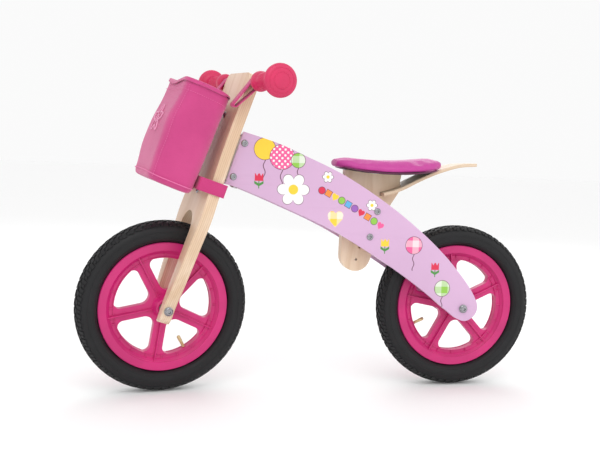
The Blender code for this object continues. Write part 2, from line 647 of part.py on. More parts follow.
def bag(steering):
    """A soft box that hangs in front of the board: open shell, lid flap, two bar straps and one board strap."""
    place = shift(-STEER_TO_BOARD - BAG_BACK, 0.0, BAG_HIGH) @ Matrix.Rotation(BAG_LEAN, 4, "Y")
    height = BAG_HIGH - BAG_LOW
    size = (BAG_DEPTH, 2 * BAG_HALF_WIDTH, height)

    def open_box(shape):
        bmesh.ops.create_cube(shape, size=1.0, matrix=shift(-0.5 * BAG_DEPTH, 0.0, -0.5 * height)
                              @ Matrix.Diagonal((*size, 1.0)))
        lid = max(shape.faces, key=lambda face: face.calc_center_median().z)
        bmesh.ops.delete(shape, geom=[lid], context="FACES_ONLY")
        upright = [e for e in shape.edges if abs(e.verts[0].co.z - e.verts[1].co.z) > 0.5 * height]
        bmesh.ops.bevel(shape, geom=upright, offset=BAG_CORNER, segments=4, affect="EDGES", profile=0.5)

    shell = link("bag", mesh_from(open_box), (BAG_PINK, 0.9), steering, place)
    wall = shell.modifiers.new("cloth", "SOLIDIFY")
    wall.thickness = BAG_WALL
    wall.offset = -1.0
    hinge = empty("bag_flap_hinge", steering, place @ shift(0.0, 0.0, GAP))
    corner = BAG_CORNER
    outline = [(0.0, -BAG_HALF_WIDTH), (0.0, BAG_HALF_WIDTH)]
    outline += arc((-BAG_DEPTH + corner, BAG_HALF_WIDTH - corner), corner, 90.0, 180.0, 4)
    outline += arc((-BAG_DEPTH + corner, corner - BAG_HALF_WIDTH), corner, 180.0, 270.0, 4)
    flat("bag_flap", [outline], FLAP_THICKNESS, (BAG_PINK, 0.9), hinge, shift(0.0, 0.0, FLAP_THICKNESS / 2 + GAP))
    bar = (-STEER_TO_BOARD, BAR_HEIGHT)
    hold = (-STEER_TO_BOARD - BAG_BACK + 0.0052, BAG_HIGH - 0.010)
    loops = []
    for extra in (STRAP_THICKNESS, 0.0):
        round_bar = circle(bar, BAR_RADIUS + GAP + extra, 24)
        loops.append(hull(round_bar + circle(hold, 0.0025 + extra, 16)))
    width = UPPER_STRAP_OUTER - UPPER_STRAP_INNER
    middle = (UPPER_STRAP_OUTER + UPPER_STRAP_INNER) / 2
    for side, name in ((-1, "left"), (1, "right")):
        flat(f"bag_strap_{name}", loops, width, (BAG_PINK, 0.9), steering, shift(0.0, side * middle, 0.0) @ SIDE_VIEW)
    lower_strap(steering)


def lower_strap(steering):
    """A flat band round the board, low down, that holds the bag's back against it."""
    board_back = -STEER_TO_BOARD + BOARD_THICKNESS / 2
    rear = board_back + 2 * GAP + BRACKET_THICKNESS + HEAD_HEIGHT + 0.0005
    front = -STEER_TO_BOARD - BAG_BACK - 0.0044
    half = 0.0700
    corner = 0.004
    loops = []
    for extra in (STRAP_THICKNESS, 0.0):
        corners = [(front - extra + corner, half + extra - corner), (rear + extra - corner, half + extra - corner)]
        corners += [(x, -y) for x, y in corners]
        loops.append(hull([p for centre in corners for p in circle(centre, corner, 16)]))
    height = (LOWER_STRAP_HIGH + LOWER_STRAP_LOW) / 2
    flat("bag_strap_lower", loops, LOWER_STRAP_HIGH - LOWER_STRAP_LOW, (BAG_PINK, 0.9), steering,
         shift(0.0, 0.0, height))


# Assembly -------------------------------------------------------------------------------------------------------
def main():
    """Builds the frame, then the steering that turns in it, then the two wheels."""
    root = empty("bike_frame", None, shift(*FRAME_SHIFT))
    foot = (STEER_TO_BOARD * math.cos(RAKE), 0.0, WHEEL_RADIUS - STEER_TO_BOARD * math.sin(RAKE))
    axis = shift(*foot) @ Matrix.Rotation(RAKE, 4, "Y")
    straight = empty("steering_axis", root, axis)
    steering = empty("steering", straight, Matrix.Rotation(REST_STEER, 4, "Z"))
    side_plates(root)
    head(root, straight)
    seat(root)
    fork_board(steering)
    brackets(steering)
    handlebar(steering)
    bag(steering)
    front_centre = shift(-STEER_TO_BOARD, 0.0, 0.0)
    rear_centre = shift(WHEELBASE, 0.0, WHEEL_RADIUS)
    axle("front", FRONT_AXLE_SEAT, steering, front_centre)
    axle("rear", REAR_AXLE_SEAT, root, rear_centre)
    wheel("front", FRONT_HUB_HALF, FRONT_SPOKE_ANGLE, 3, empty("front_wheel_axis", steering, front_centre))
    wheel("rear", REAR_HUB_HALF, REAR_SPOKE_ANGLE, 2, empty("rear_wheel_axis", root, rear_centre))
    bpy.context.view_layer.update()


main()
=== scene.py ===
import json
import logging
import math
from dataclasses import dataclass, field
from enum import Enum
from typing import Any, Sequence

import bmesh
import bpy
from mathutils import Matrix, Vector


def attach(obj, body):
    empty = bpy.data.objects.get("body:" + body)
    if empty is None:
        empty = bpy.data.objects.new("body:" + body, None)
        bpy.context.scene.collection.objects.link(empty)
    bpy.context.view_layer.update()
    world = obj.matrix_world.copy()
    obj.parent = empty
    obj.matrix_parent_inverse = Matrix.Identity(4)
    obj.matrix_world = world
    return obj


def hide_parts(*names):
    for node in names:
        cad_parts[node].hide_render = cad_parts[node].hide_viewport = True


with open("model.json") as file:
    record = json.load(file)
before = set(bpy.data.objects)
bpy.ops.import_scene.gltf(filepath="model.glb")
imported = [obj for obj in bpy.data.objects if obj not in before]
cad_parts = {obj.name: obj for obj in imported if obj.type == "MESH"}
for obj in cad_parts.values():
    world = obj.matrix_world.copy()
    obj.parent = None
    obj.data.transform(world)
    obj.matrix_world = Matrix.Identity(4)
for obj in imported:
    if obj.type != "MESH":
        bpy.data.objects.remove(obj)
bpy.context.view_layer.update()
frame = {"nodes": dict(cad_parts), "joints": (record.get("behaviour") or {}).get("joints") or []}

log = logging.getLogger("balance_bike")
Point2 = tuple[float, float]
Colour = tuple[float, float, float]


# Places -------------------------------------------------------------------------------------------
JOINTS = {joint["name"]: joint for joint in frame["joints"]}
WHEELBASE, WHEEL_RADIUS = 0.551, 0.152
STEER_TO_BOARD = 0.050
PLATE_OUTER = 0.050
BOARD_THICKNESS, BRACKET_THICKNESS = 0.020, 0.003
BRACKET_HEIGHTS = (0.213, 0.352)
SIDE_VIEW = Matrix.Rotation(math.radians(90.0), 4, "X")
FRONT_VIEW = Matrix(((0, 0, 1, 0), (1, 0, 0, 0), (0, 1, 0, 0), (0, 0, 0, 1)))
ALONG_Y = Matrix.Rotation(math.radians(-90.0), 4, "X")
ALONG_MINUS_Y = Matrix.Rotation(math.radians(90.0), 4, "X")
ALONG_MINUS_X = Matrix.Rotation(math.radians(-90.0), 4, "Y")


def shift(x: float, y: float, z: float) -> Matrix:
    """A translation matrix."""
    return Matrix.Translation((x, y, z))


def steering_place() -> Matrix:
    """The turned steering frame: +X rearwards, +Y to the rider's right, +Z up the steering axis."""
    up = Vector(JOINTS["steer"]["axis"]).normalized()
    across = Vector(JOINTS["front_wheel_spin"]["axis"]).normalized()
    rearwards = across.cross(up).normalized()
    place = Matrix((rearwards, across, up)).transposed().to_4x4()
    place.translation = Vector(JOINTS["steer"]["pos_m"])
    return place


REAR_WHEEL = Matrix.Translation(JOINTS["rear_wheel_spin"]["pos_m"])
BIKE = REAR_WHEEL @ shift(-WHEELBASE, 0.0, -WHEEL_RADIUS)
STEERING = steering_place()
BOARD = STEERING @ shift(-STEER_TO_BOARD, 0.0, 0.0)
FRONT_WHEEL = BOARD


# Shader expressions -------------------------------------------------------------------------------
class Value:
    """One output of a shader node, which adds its own Math nodes when it is used in arithmetic."""

    def __init__(self, shader: "Shader", socket: Any) -> None:
        """Keeps the shader and the socket."""
        self.shader = shader
        self.socket = socket

    def math(self, operation: str, *others: Any) -> "Value":
        """A Math node with this value first."""
        return self.shader.math(operation, self, *others)

    def __add__(self, other: Any) -> "Value":
        """This plus other."""
        return self.math("ADD", other)

    __radd__ = __add__

    def __sub__(self, other: Any) -> "Value":
        """This minus other."""
        return self.math("SUBTRACT", other)

    def __rsub__(self, other: Any) -> "Value":
        """Other minus this."""
        return self.shader.math("SUBTRACT", other, self)

    def __mul__(self, other: Any) -> "Value":
        """This times other."""
        return self.math("MULTIPLY", other)

    __rmul__ = __mul__

    def __truediv__(self, other: Any) -> "Value":
        """This over other."""
        return self.math("DIVIDE", other)

    def __pow__(self, other: Any) -> "Value":
        """This to a power."""
        return self.math("POWER", other)

    def __abs__(self) -> "Value":
        """Its size without its sign."""
        return self.math("ABSOLUTE")

    def __gt__(self, other: Any) -> "Value":
        """1 where this is greater."""
        return self.math("GREATER_THAN", other)

    def __lt__(self, other: Any) -> "Value":
        """1 where this is less."""
        return self.math("LESS_THAN", other)

    def fade(self, start: float, end: float, low: float = 0.0, high: float = 1.0) -> "Value":
        """Goes smoothly from low at start to high at end."""
        return self.shader.node(
            "ShaderNodeMapRange", {"interpolation_type": "SMOOTHSTEP"},
            {0: self, 1: start, 2: end, 3: low, 4: high})


class Shader:
    """A material's node tree with one Principled surface."""

    def __init__(self, name: str) -> None:
        """Makes the material with an empty tree."""
        self.material = bpy.data.materials.new(name)
        self.material.use_nodes = True
        self.tree = self.material.node_tree
        self.tree.nodes.clear()
        self.surface = self.tree.nodes.new("ShaderNodeBsdfPrincipled")
        output = self.tree.nodes.new("ShaderNodeOutputMaterial")
        self.tree.links.new(self.surface.outputs[0], output.inputs[0])

    def feed(self, socket: Any, value: Any) -> None:
        """Links a value to a socket, or sets the socket's own number or colour."""
        if isinstance(value, Value):
            self.tree.links.new(value.socket, socket)
            return
        if socket.type == "RGBA" and len(value) == 3:
            value = (*value, 1.0)
        socket.default_value = value

    def node(self, kind: str, settings: dict[str, Any] | None = None, inputs: dict[Any, Any] | None = None,
             output: Any = 0) -> Value:
        """Adds any node.

        Args:
            kind: the node's type.
            settings: its properties, with a ramp's stops as (position, colour) pairs under "stops".
            inputs: numbers, colours or values by socket name or number.
            output: the output to return.

        Returns:
            The chosen output.
        """
        made = self.tree.nodes.new(kind)
        for key, setting in (settings or {}).items():
            if key == "stops":
                self.ramp_stops(made.color_ramp, setting)
            else:
                setattr(made, key, setting)
        for key, value in (inputs or {}).items():
            self.feed(made.inputs[key], value)
        return Value(self, made.outputs[output])

    @staticmethod
    def ramp_stops(ramp: Any, stops: Sequence[tuple[float, Colour]]) -> None:
        """Replaces a colour ramp's stops."""
        while len(ramp.elements) < len(stops):
            ramp.elements.new(1.0)
        for element, (position, colour) in zip(ramp.elements, stops):
            element.position = position
            element.color = (*colour, 1.0)

    def math(self, operation: str, *values: Any) -> Value:
        """A Math node."""
        return self.node("ShaderNodeMath", {"operation": operation}, dict(enumerate(values)))

    def vector(self, operation: str, *values: Any, output: Any = 0) -> Value:
        """A Vector Math node."""
        return self.node("ShaderNodeVectorMath", {"operation": operation}, dict(enumerate(values)), output)

    def mix(self, factor: Any, first: Any, second: Any) -> Value:
        """Colour first where factor is 0 and second where it is 1."""
        return self.node("ShaderNodeMix", {"data_type": "RGBA"}, {0: factor, 6: first, 7: second}, 2)

    def position(self) -> Value:
        """Object coordinates."""
        return self.node("ShaderNodeTexCoord", output="Object")

    def along(self, place: Matrix, axis: int) -> Value:
        """How far a point lies along one axis of a place, in metres."""
        direction = place.to_3x3().col[axis]
        offset = direction.dot(place.translation)
        return self.vector("DOT_PRODUCT", self.position(), tuple(direction), output="Value") - offset

    def combine(self, x: Any, y: Any, z: Any) -> Value:
        """A vector of three numbers."""
        return self.node("ShaderNodeCombineXYZ", None, {0: x, 1: y, 2: z})

    def split(self, vector: Value) -> list[Value]:
        """A vector's three numbers."""
        parts = self.node("ShaderNodeSeparateXYZ", None, {0: vector})
        return [Value(self, socket) for socket in parts.socket.node.outputs]

    def noise(self, vector: Value, scale: float, detail: float = 2.0, roughness: float = 0.5) -> Value:
        """Noise from 0 to 1."""
        return self.node("ShaderNodeTexNoise", None,
                         {"Vector": vector, "Scale": scale, "Detail": detail, "Roughness": roughness})

    def bump(self, height: Value, distance: float, strength: float = 1.0) -> None:
        """Feeds the surface's normal with a height."""
        self.set("Normal", self.node("ShaderNodeBump", None,
                                     {"Height": height, "Distance": distance, "Strength": strength}))

    def set(self, name: str, value: Any) -> None:
        """Sets or links one input of the surface."""
        self.feed(self.surface.inputs[name], value)


def linear(red: int, green: int, blue: int) -> Colour:
    """Linear colour from display numbers of 0 to 255."""
    shares = (number / 255 for number in (red, green, blue))
    return tuple(((c + 0.055) / 1.055) ** 2.4 if c > 0.04045 else c / 12.92 for c in shares)


def dimmed(colour: Colour, share: float) -> Colour:
    """A colour brought down to a share of its brightness."""
    return tuple(c * share for c in colour)


# Finishes -----------------------------------------------------------------------------------------
WHITE = (0.86, 0.86, 0.84)


@dataclass(frozen=True)
class Finish:
    """A finish with a name, and the material that it makes."""

    name: str

    def build(self) -> Any:
        """Makes the material."""
        shader = Shader(self.name)
        self.dress(shader)
        return shader.material

    def dress(self, shader: Shader) -> None:
        """Fills the shader."""
        raise NotImplementedError


def lacquer(shader: Shader, fibres: Value) -> None:
    """Sets the gloss of clear lacquer over wood fibres."""
    shader.set("Roughness", fibres.fade(0.2, 0.8, 0.36, 0.52))
    shader.set("Coat Weight", 0.18)
    shader.set("Coat Roughness", 0.22)


@dataclass(frozen=True)
class Plywood(Finish):
    """Clear-lacquered birch plywood: grain on its faces and glue lines on its edges."""

    place: Matrix
    thickness_axis: int = 0
    length_axis: int = 2
    ply: float = 0.0034
    pale: Colour = linear(234, 212, 188)
    dark: Colour = linear(214, 184, 152)
    glue: Colour = linear(164, 120, 88)

    def dress(self, shader: Shader) -> None:
        """Grain runs along the length axis and plies are stacked on the thickness axis."""
        across_axis = 3 - self.thickness_axis - self.length_axis
        axes = (across_axis, self.thickness_axis, self.length_axis)
        across, depth, length = (shader.along(self.place, axis) for axis in axes)

        def grain(fine: float, drawn: float, sway: Any = 0.0, detail: float = 2.0,
                  roughness: float = 0.5) -> Value:
            """Noise of one scale across the wood and another along it, shifted sideways by sway."""
            where = shader.combine(across * fine + sway, depth * fine, length * drawn)
            return shader.noise(where, 1.0, detail, roughness)

        wander = grain(9.0, 2.5, detail=3.0) - 0.5
        fibres = grain(260.0, 9.0, wander * 12.0, 4.0, 0.6)
        figure = grain(40.0, 2.4, wander * 8.0)
        pores = grain(900.0, 60.0, detail=1.0).fade(0.62, 0.72)
        layer = depth / self.ply + 0.5
        line = abs(layer.math("FRACT") - 0.5).fade(0.36, 0.47)
        odd = (layer.math("FLOOR") / 2.0).math("FRACT") > 0.25
        tone = figure.fade(0.30, 0.72) * 0.75 + fibres * 0.35
        wood = shader.mix(tone.fade(0.1, 1.0), self.pale, self.dark)
        wood = shader.mix(pores * 0.16, wood, self.glue)
        wood = shader.mix(odd * 0.22, wood, self.dark)
        wood = shader.mix(line * 0.45, wood, self.glue)
        shader.set("Base Color", wood)
        lacquer(shader, fibres)
        shader.bump(fibres, 0.00010, 0.4)


@dataclass(frozen=True)
class BentPly(Finish):
    """Plywood for a bent strip; its plies follow a depth attribute that runs 0 to 1 through the thickness."""

    plies: int = 4
    pale: Colour = linear(234, 216, 194)
    dark: Colour = linear(214, 188, 158)
    glue: Colour = linear(164, 124, 92)

    def dress(self, shader: Shader) -> None:
        """Grain runs along +X."""
        depth = shader.node("ShaderNodeAttribute", {"attribute_name": "depth"}, None, "Fac")
        length, across, _ = shader.split(shader.position())
        fibres = shader.noise(shader.combine(length * 9.0, across * 260.0, depth * 3.0), 1.0, 4.0, 0.6)
        layer = (depth * float(self.plies)).math("FRACT")
        line = abs(layer - 0.5).fade(0.33, 0.46) * (abs(depth - 0.5) < 0.45)
        wood = shader.mix(fibres.fade(0.25, 0.75), self.pale, self.dark)
        wood = shader.mix(line * 0.6, wood, self.glue)
        shader.set("Base Color", wood)
        lacquer(shader, fibres)
        shader.bump(fibres + line * -1.0, 0.0001, 0.5)


@dataclass(frozen=True)
class Moulded(Finish):
    """Moulded plastic or rubber with a fine grain."""

    colour: Colour
    roughness: float = 0.38
    grain: float = 0.00003
    grain_scale: float = 900.0
    coat: float = 0.0
    shade: float = 0.16

    def dress(self, shader: Shader) -> None:
        """Slight unevenness in colour and gloss over a fine grain."""
        place = shader.position()
        cloud = shader.noise(place, 16.0, 3.0)
        grain = shader.noise(place, self.grain_scale, 2.0)
        darker = dimmed(self.colour, 1.0 - self.shade)
        shader.set("Base Color", shader.mix(cloud.fade(0.3, 0.7), self.colour, darker))
        shader.set("Roughness", cloud.fade(0.3, 0.7, self.roughness - 0.04, self.roughness + 0.06))
        shader.set("Coat Weight", self.coat)
        shader.bump(grain, self.grain)


@dataclass(frozen=True)
class TyreRubber(Finish):
    """Black rubber, dulled with a little grey bloom."""

    colour: Colour = linear(17, 17, 19)
    bloom: Colour = linear(38, 38, 41)

    def dress(self, shader: Shader) -> None:
        """Grey bloom in clouds, with a fine moulded texture."""
        place = shader.position()
        cloud = shader.noise(place, 22.0, 4.0, 0.6)
        specks = shader.noise(place, 420.0, 2.0)
        shader.set("Base Color", shader.mix(cloud.fade(0.38, 0.78) * 0.55, self.colour, self.bloom))
        shader.set("Roughness", cloud.fade(0.3, 0.7, 0.46, 0.66))
        shader.set("Specular IOR Level", 0.35)
        shader.bump(specks, 0.00008, 0.7)


@dataclass(frozen=True)
class Metal(Finish):
    """Plated or plain metal with fine marks."""

    colour: Colour = (0.68, 0.68, 0.69)
    roughness: float = 0.26

    def dress(self, shader: Shader) -> None:
        """Gloss varies with fine scratches and soft smears."""
        place = shader.position()
        smears = shader.noise(place, 60.0, 3.0)
        stretched = shader.vector("MULTIPLY", place, (180.0, 180.0, 2400.0))
        scratches = shader.noise(stretched, 1.0, 2.0)
        duller = dimmed(self.colour, 0.82)
        shader.set("Base Color", shader.mix(smears.fade(0.35, 0.7), self.colour, duller))
        shader.set("Metallic", 1.0)
        shader.set("Roughness", smears.fade(0.3, 0.7, self.roughness - 0.05, self.roughness + 0.10))
        shader.bump(scratches, 0.00002, 0.5)


@dataclass(frozen=True)
class Woven(Finish):
    """Plain woven cloth or webbing, its threads laid along the piece's own UV map in metres."""

    colour: Colour
    thread: float = 0.0011
    depth: float = 0.00028
    sheen: float = 0.35
    twill: bool = False

    def dress(self, shader: Shader) -> None:
        """Over-and-under threads, darker in the weave's hollows as painted shade, with tone that drifts
        softly over the panel.
        """
        uv = shader.node("ShaderNodeUVMap", {"uv_map": "cloth"})
        u, v = (part / self.thread for part in shader.split(uv)[:2])
        if self.twill:
            weave = ((u + v) * math.pi).math("SINE") * 0.7 + (v * math.pi * 2.0).math("SINE") * 0.3
        else:
            weave = (u * math.pi).math("SINE") * (v * math.pi).math("SINE")
        cloud = shader.noise(shader.position(), 14.0, 3.0)
        slubs = shader.noise(shader.combine(u * 0.09, v * 0.9, 0.0), 1.0, 2.0)
        # Darker where the weave dips, the same hollows that the bump makes: painted shade between the
        # threads. The cloud and the slubs are the cloth's own tone.
        tone = weave.fade(-1.0, 0.6, 0.55, 0.0) + cloud.fade(0.3, 0.75, 0.0, 0.30)
        tone += slubs.fade(0.4, 0.8, 0.0, 0.12)
        shader.set("Base Color", shader.mix(tone, self.colour, dimmed(self.colour, 0.70)))
        shader.set("Roughness", cloud.fade(0.3, 0.7, 0.72, 0.85))
        shader.set("Sheen Weight", self.sheen)
        shader.set("Sheen Roughness", 0.45)
        shader.bump(weave + slubs * 0.6, self.depth, 0.6)


@dataclass(frozen=True)
class Leatherette(Finish):
    """Smooth imitation leather with a fine pebble."""

    colour: Colour
    roughness: float = 0.42

    def dress(self, shader: Shader) -> None:
        """Pebbles from cells, their grooves darker as painted shade, with soft creases."""
        place = shader.position()
        pebbles = {"Vector": place, "Scale": 850.0}
        cells = shader.node("ShaderNodeTexVoronoi", {"feature": "DISTANCE_TO_EDGE"}, pebbles)
        creases = shader.noise(place, 45.0, 4.0, 0.6)
        # Darker in the grooves between pebbles, where the bump dips: painted shade. The creases add random
        # darker tone of the cover's own.
        tone = cells.fade(0.0, 0.12, 0.5, 0.0) + creases.fade(0.45, 0.75, 0.0, 0.35)
        shader.set("Base Color", shader.mix(tone, self.colour, dimmed(self.colour, 0.78)))
        shader.set("Roughness", creases.fade(0.3, 0.7, self.roughness - 0.06, self.roughness + 0.08))
        shader.set("Coat Weight", 0.08)
        shader.bump(cells.fade(0.0, 0.18) + creases * 0.5, 0.00010, 0.6)


class Kind(Enum):
    """The printed motifs."""

    BALLOON = "balloon"
    DAISY = "daisy"
    TULIP = "tulip"
    HEART = "heart"
    SPOT = "spot"
    TILE = "tile"


class Pattern(Enum):
    """What fills a motif."""

    PLAIN = "plain"
    DOTS = "dots"
    CHECKS = "checks"


@dataclass(frozen=True)
class Motif:
    """One printed motif: its place on the plate's face in metres, its radius and its colour."""

    kind: Kind
    x: float
    z: float
    size: float
    colour: Colour
    pattern: Pattern = Pattern.PLAIN
    turn: float = 0.0


YELLOW, PINK, RED = linear(250, 205, 50), linear(235, 90, 150), linear(214, 30, 72)
GREEN, ORANGE, BLUE = linear(140, 196, 70), linear(244, 140, 50), linear(90, 170, 220)
VIOLET, LEAF, DARK = linear(150, 90, 180), linear(70, 140, 60), linear(84, 40, 62)
ROW = ((Kind.SPOT, RED), (Kind.TILE, ORANGE), (Kind.HEART, YELLOW), (Kind.SPOT, GREEN), (Kind.TILE, BLUE),
       (Kind.SPOT, VIOLET), (Kind.HEART, RED), (Kind.TILE, ORANGE), (Kind.SPOT, GREEN), (Kind.HEART, PINK))
ROW_X, ROW_Z, ROW_SIZE, ROW_TURN = -0.0052, 0.3640, 0.0060, 0.5
ROW_LENGTH, ROW_DROP, ROW_BEND = 0.1110, 0.0600, 1.15
MOTIFS = (
    Motif(Kind.BALLOON, -0.1101, 0.4330, 0.0185, YELLOW),
    Motif(Kind.BALLOON, -0.0790, 0.4200, 0.0215, PINK, Pattern.DOTS),
    Motif(Kind.BALLOON, -0.0500, 0.4150, 0.0125, GREEN, Pattern.CHECKS),
    Motif(Kind.TULIP, -0.1187, 0.3850, 0.0110, RED),
    Motif(Kind.DAISY, -0.0570, 0.3640, 0.0290, WHITE),
    Motif(Kind.DAISY, 0.0048, 0.3880, 0.0100, WHITE),
    Motif(Kind.HEART, 0.0215, 0.3160, 0.0135, YELLOW, Pattern.CHECKS),
    Motif(Kind.DAISY, 0.0883, 0.3400, 0.0100, WHITE),
    Motif(Kind.TULIP, 0.1162, 0.2740, 0.0110, YELLOW),
    Motif(Kind.BALLOON, 0.1718, 0.2690, 0.0155, PINK, Pattern.CHECKS),
    Motif(Kind.TULIP, 0.2150, 0.2320, 0.0110, RED),
    Motif(Kind.BALLOON, 0.2309, 0.1900, 0.0145, GREEN, Pattern.CHECKS),
) + tuple(
    Motif(kind, ROW_X + ROW_LENGTH * k / 9, ROW_Z - ROW_DROP * (k / 9) ** ROW_BEND, ROW_SIZE, colour,
          turn=ROW_TURN)
    for k, (kind, colour) in enumerate(ROW)
)


@dataclass(frozen=True)
class PrintedPaint(Finish):
    """Satin lilac-pink paint with small printed motifs on the outer face."""

    side: int
    outer: float
    colour: Colour = linear(210, 172, 206)
    motifs: tuple[Motif, ...] = MOTIFS

    def shape(self, shader: Shader, motif: Motif, x: Value,
              z: Value) -> tuple[Value, Value | None, Value | None]:
        """The masks of one motif.

        Args:
            shader: the shader that gets the nodes.
            motif: what to draw.
            x: distance along the plate.
            z: height.

        Returns:
            The masks of its body, of its detail and of its dark outline.
        """
        edge, line = 0.0004, 0.0009

        def within(distance: Value, limit: float) -> Value:
            """1 where a distance is under a limit, with a soft edge."""
            return distance.fade(limit + edge, limit - edge)

        dx, dz = x - motif.x, z - motif.z
        if motif.turn:
            c, s = math.cos(motif.turn), math.sin(motif.turn)
            dx, dz = dx * c - dz * s, dx * s + dz * c
        reach = (dx * dx + dz * dz).math("SQRT")
        size = motif.size
        if motif.kind is Kind.SPOT:
            return within(reach, size), None, within(reach, size + line)
        if motif.kind is Kind.TILE:
            square = shader.math("MAXIMUM", abs(dx), abs(dz))
            side = size * 0.85
            return within(square, side), None, within(square, side + line)
        if motif.kind is Kind.BALLOON:
            sway = (dz * (5.0 / size)).math("SINE") * (size * 0.10)
            string = abs(dx - sway).fade(0.0011, 0.0004) * (dz < -size) * (dz > -size * 3.0)
            return within(reach, size), string, within(reach, size + line)
        if motif.kind is Kind.HEART:
            point = within(abs(dx) * 0.80 + abs(dz + size * 0.1) * 0.72, size * 0.82) * (dz < size * 0.32)
            up = dz - size * 0.32
            lobes = []
            for side in (-1, 1):
                away = dx - side * size * 0.5
                lobes.append(within((away * away + up * up).math("SQRT"), size * 0.56))
            return shader.math("MAXIMUM", point, shader.math("MAXIMUM", *lobes)), None, None
        angle = shader.math("ARCTAN2", dz, dx)
        if motif.kind is Kind.DAISY:
            petals = abs((angle * 3.0).math("COSINE")) ** 0.6 * (size * 0.42) + size * 0.56
            return within(reach - petals, 0.0), within(reach, size * 0.30), within(reach - petals, line)
        cup = shader.math("MAXIMUM", abs(dx) * 1.25, abs(dz - size * 0.15))
        teeth = dz - (abs((dx * (math.pi * 1.5 / size)).math("COSINE")) * size * 0.45 + size * 0.05)
        body = within(cup, size * 0.85) * within(teeth, 0.0) * (reach < size * 1.05)
        stem = abs(dx).fade(0.0013, 0.0005) * (dz < -size * 0.5) * (dz > -size * 1.9)
        slope = abs(dz + size * 1.35 - abs(dx) * 0.6)
        leaves = slope.fade(size * 0.28, size * 0.16) * (abs(dx) < size * 0.75)
        return body, shader.math("MAXIMUM", stem, leaves), None

    def dress(self, shader: Shader) -> None:
        """Lays the motifs over the paint one after the other."""
        x, y, z = shader.split(shader.position())
        face = (y * float(self.side)) > (self.outer - 0.0002)
        checks = ((x * 260.0).math("SINE") > 0.0) * 0.5 + ((z * 260.0).math("SINE") > 0.0) * 0.5
        dots = ((x * 620.0).math("SINE") * (z * 620.0).math("SINE")) > 0.35
        cloud = shader.noise(shader.position(), 5.0, 2.0)
        paint = shader.mix(cloud.fade(0.3, 0.7), self.colour, dimmed(self.colour, 0.93))
        for motif in self.motifs:
            body, detail, outline = self.shape(shader, motif, x, z)
            if outline is not None:
                paint = shader.mix(outline * face, paint, DARK)
            filling: Any = motif.colour
            if motif.pattern is Pattern.DOTS:
                filling = shader.mix(dots, motif.colour, WHITE)
            elif motif.pattern is Pattern.CHECKS:
                filling = shader.mix(checks * 0.75, motif.colour, WHITE)
            if motif.kind is Kind.DAISY:
                paint = shader.mix(body * face, paint, filling)
                paint = shader.mix(detail * face, paint, YELLOW)
            else:
                if detail is not None:
                    paint = shader.mix(detail * face, paint, DARK if motif.kind is Kind.BALLOON else LEAF)
                paint = shader.mix(body * face, paint, filling)
        peel = shader.noise(shader.position(), 240.0, 2.0)
        shader.set("Base Color", paint)
        shader.set("Roughness", cloud.fade(0.3, 0.7, 0.34, 0.42))
        shader.set("Coat Weight", 0.25)
        shader.set("Coat Roughness", 0.15)
        shader.bump(peel, 0.00003, 0.4)


# Meshes -------------------------------------------------------------------------------------------
@dataclass
class Shape:
    """Points and faces, joined with + and placed with a matrix."""

    points: list[Vector] = field(default_factory=list)
    faces: list[tuple[int, ...]] = field(default_factory=list)

    def __add__(self, other: "Shape") -> "Shape":
        """Both shapes in one."""
        start = len(self.points)
        moved = [tuple(i + start for i in face) for face in other.faces]
        return Shape(self.points + other.points, self.faces + moved)

    def placed(self, place: Matrix) -> "Shape":
        """A moved copy."""
        return Shape([place @ p for p in self.points], list(self.faces))

    @staticmethod
    def of(mesh: Any) -> "Shape":
        """The shape of a mesh."""
        return Shape([v.co.copy() for v in mesh.vertices], [tuple(p.vertices) for p in mesh.polygons])

    def mesh(self, name: str, angle: float = 35.0, merge: float = 1e-6) -> Any:
        """A mesh that faces outwards and is smooth but for edges sharper than the angle.

        Args:
            name: the mesh's name.
            angle: degrees past which an edge stays sharp.
            merge: distance under which points become one, or 0.

        Returns:
            The mesh.
        """
        made = bpy.data.meshes.new(name)
        made.from_pydata(self.points, [], self.faces)
        solid = bmesh.new()
        solid.from_mesh(made)
        if merge:
            bmesh.ops.remove_doubles(solid, verts=solid.verts, dist=merge)
        bmesh.ops.recalc_face_normals(solid, faces=solid.faces)
        solid.to_mesh(made)
        solid.free()
        smooth(made, angle)
        return made


def smooth(mesh: Any, angle: float) -> None:
    """Shades a mesh smooth but for its sharp edges."""
    mesh.polygons.foreach_set("use_smooth", [True] * len(mesh.polygons))
    mesh.set_sharp_from_angle(angle=math.radians(angle))


def through(points: Sequence[Point2], per_span: int = 6) -> list[Point2]:
    """A smooth open line through the points (Catmull-Rom)."""
    line: list[Point2] = []
    last = len(points) - 1
    for i in range(last):
        p0, p1, p2, p3 = points[max(i - 1, 0)], points[i], points[i + 1], points[min(i + 2, last)]
        for k in range(per_span):
            t = k / per_span
            line.append(tuple(
                0.5 * (2 * b + (c - a) * t + (2 * a - 5 * b + 4 * c - d) * t * t
                       + (3 * b - a - 3 * c + d) * t ** 3)
                for a, b, c, d in zip(p0, p1, p2, p3)))
    line.append(tuple(points[-1]))
    return line


def arc(centre: Point2, radius: float, start: float, end: float, steps: int) -> list[Point2]:
    """Points on an arc, angles in degrees."""
    angles = [math.radians(start + (end - start) * k / steps) for k in range(steps + 1)]
    return [(centre[0] + radius * math.cos(a), centre[1] + radius * math.sin(a)) for a in angles]


def circle(centre: Point2, radius: float, steps: int = 24) -> list[Point2]:
    """A closed circle's points."""
    return arc(centre, radius, 0.0, 360.0, steps)[:-1]


def hull(points: Sequence[Point2]) -> list[Point2]:
    """The convex outline round the points, anticlockwise."""
    ordered = sorted(set(points))
    outline: list[Point2] = []
    for run in (ordered, ordered[::-1]):
        chain: list[Point2] = []
        for p in run:
            while len(chain) > 1:
                (ax, ay), (bx, by) = chain[-2], chain[-1]
                if (bx - ax) * (p[1] - ay) - (by - ay) * (p[0] - ax) > 0:
                    break
                chain.pop()
            chain.append(p)
        outline += chain[:-1]
    return outline


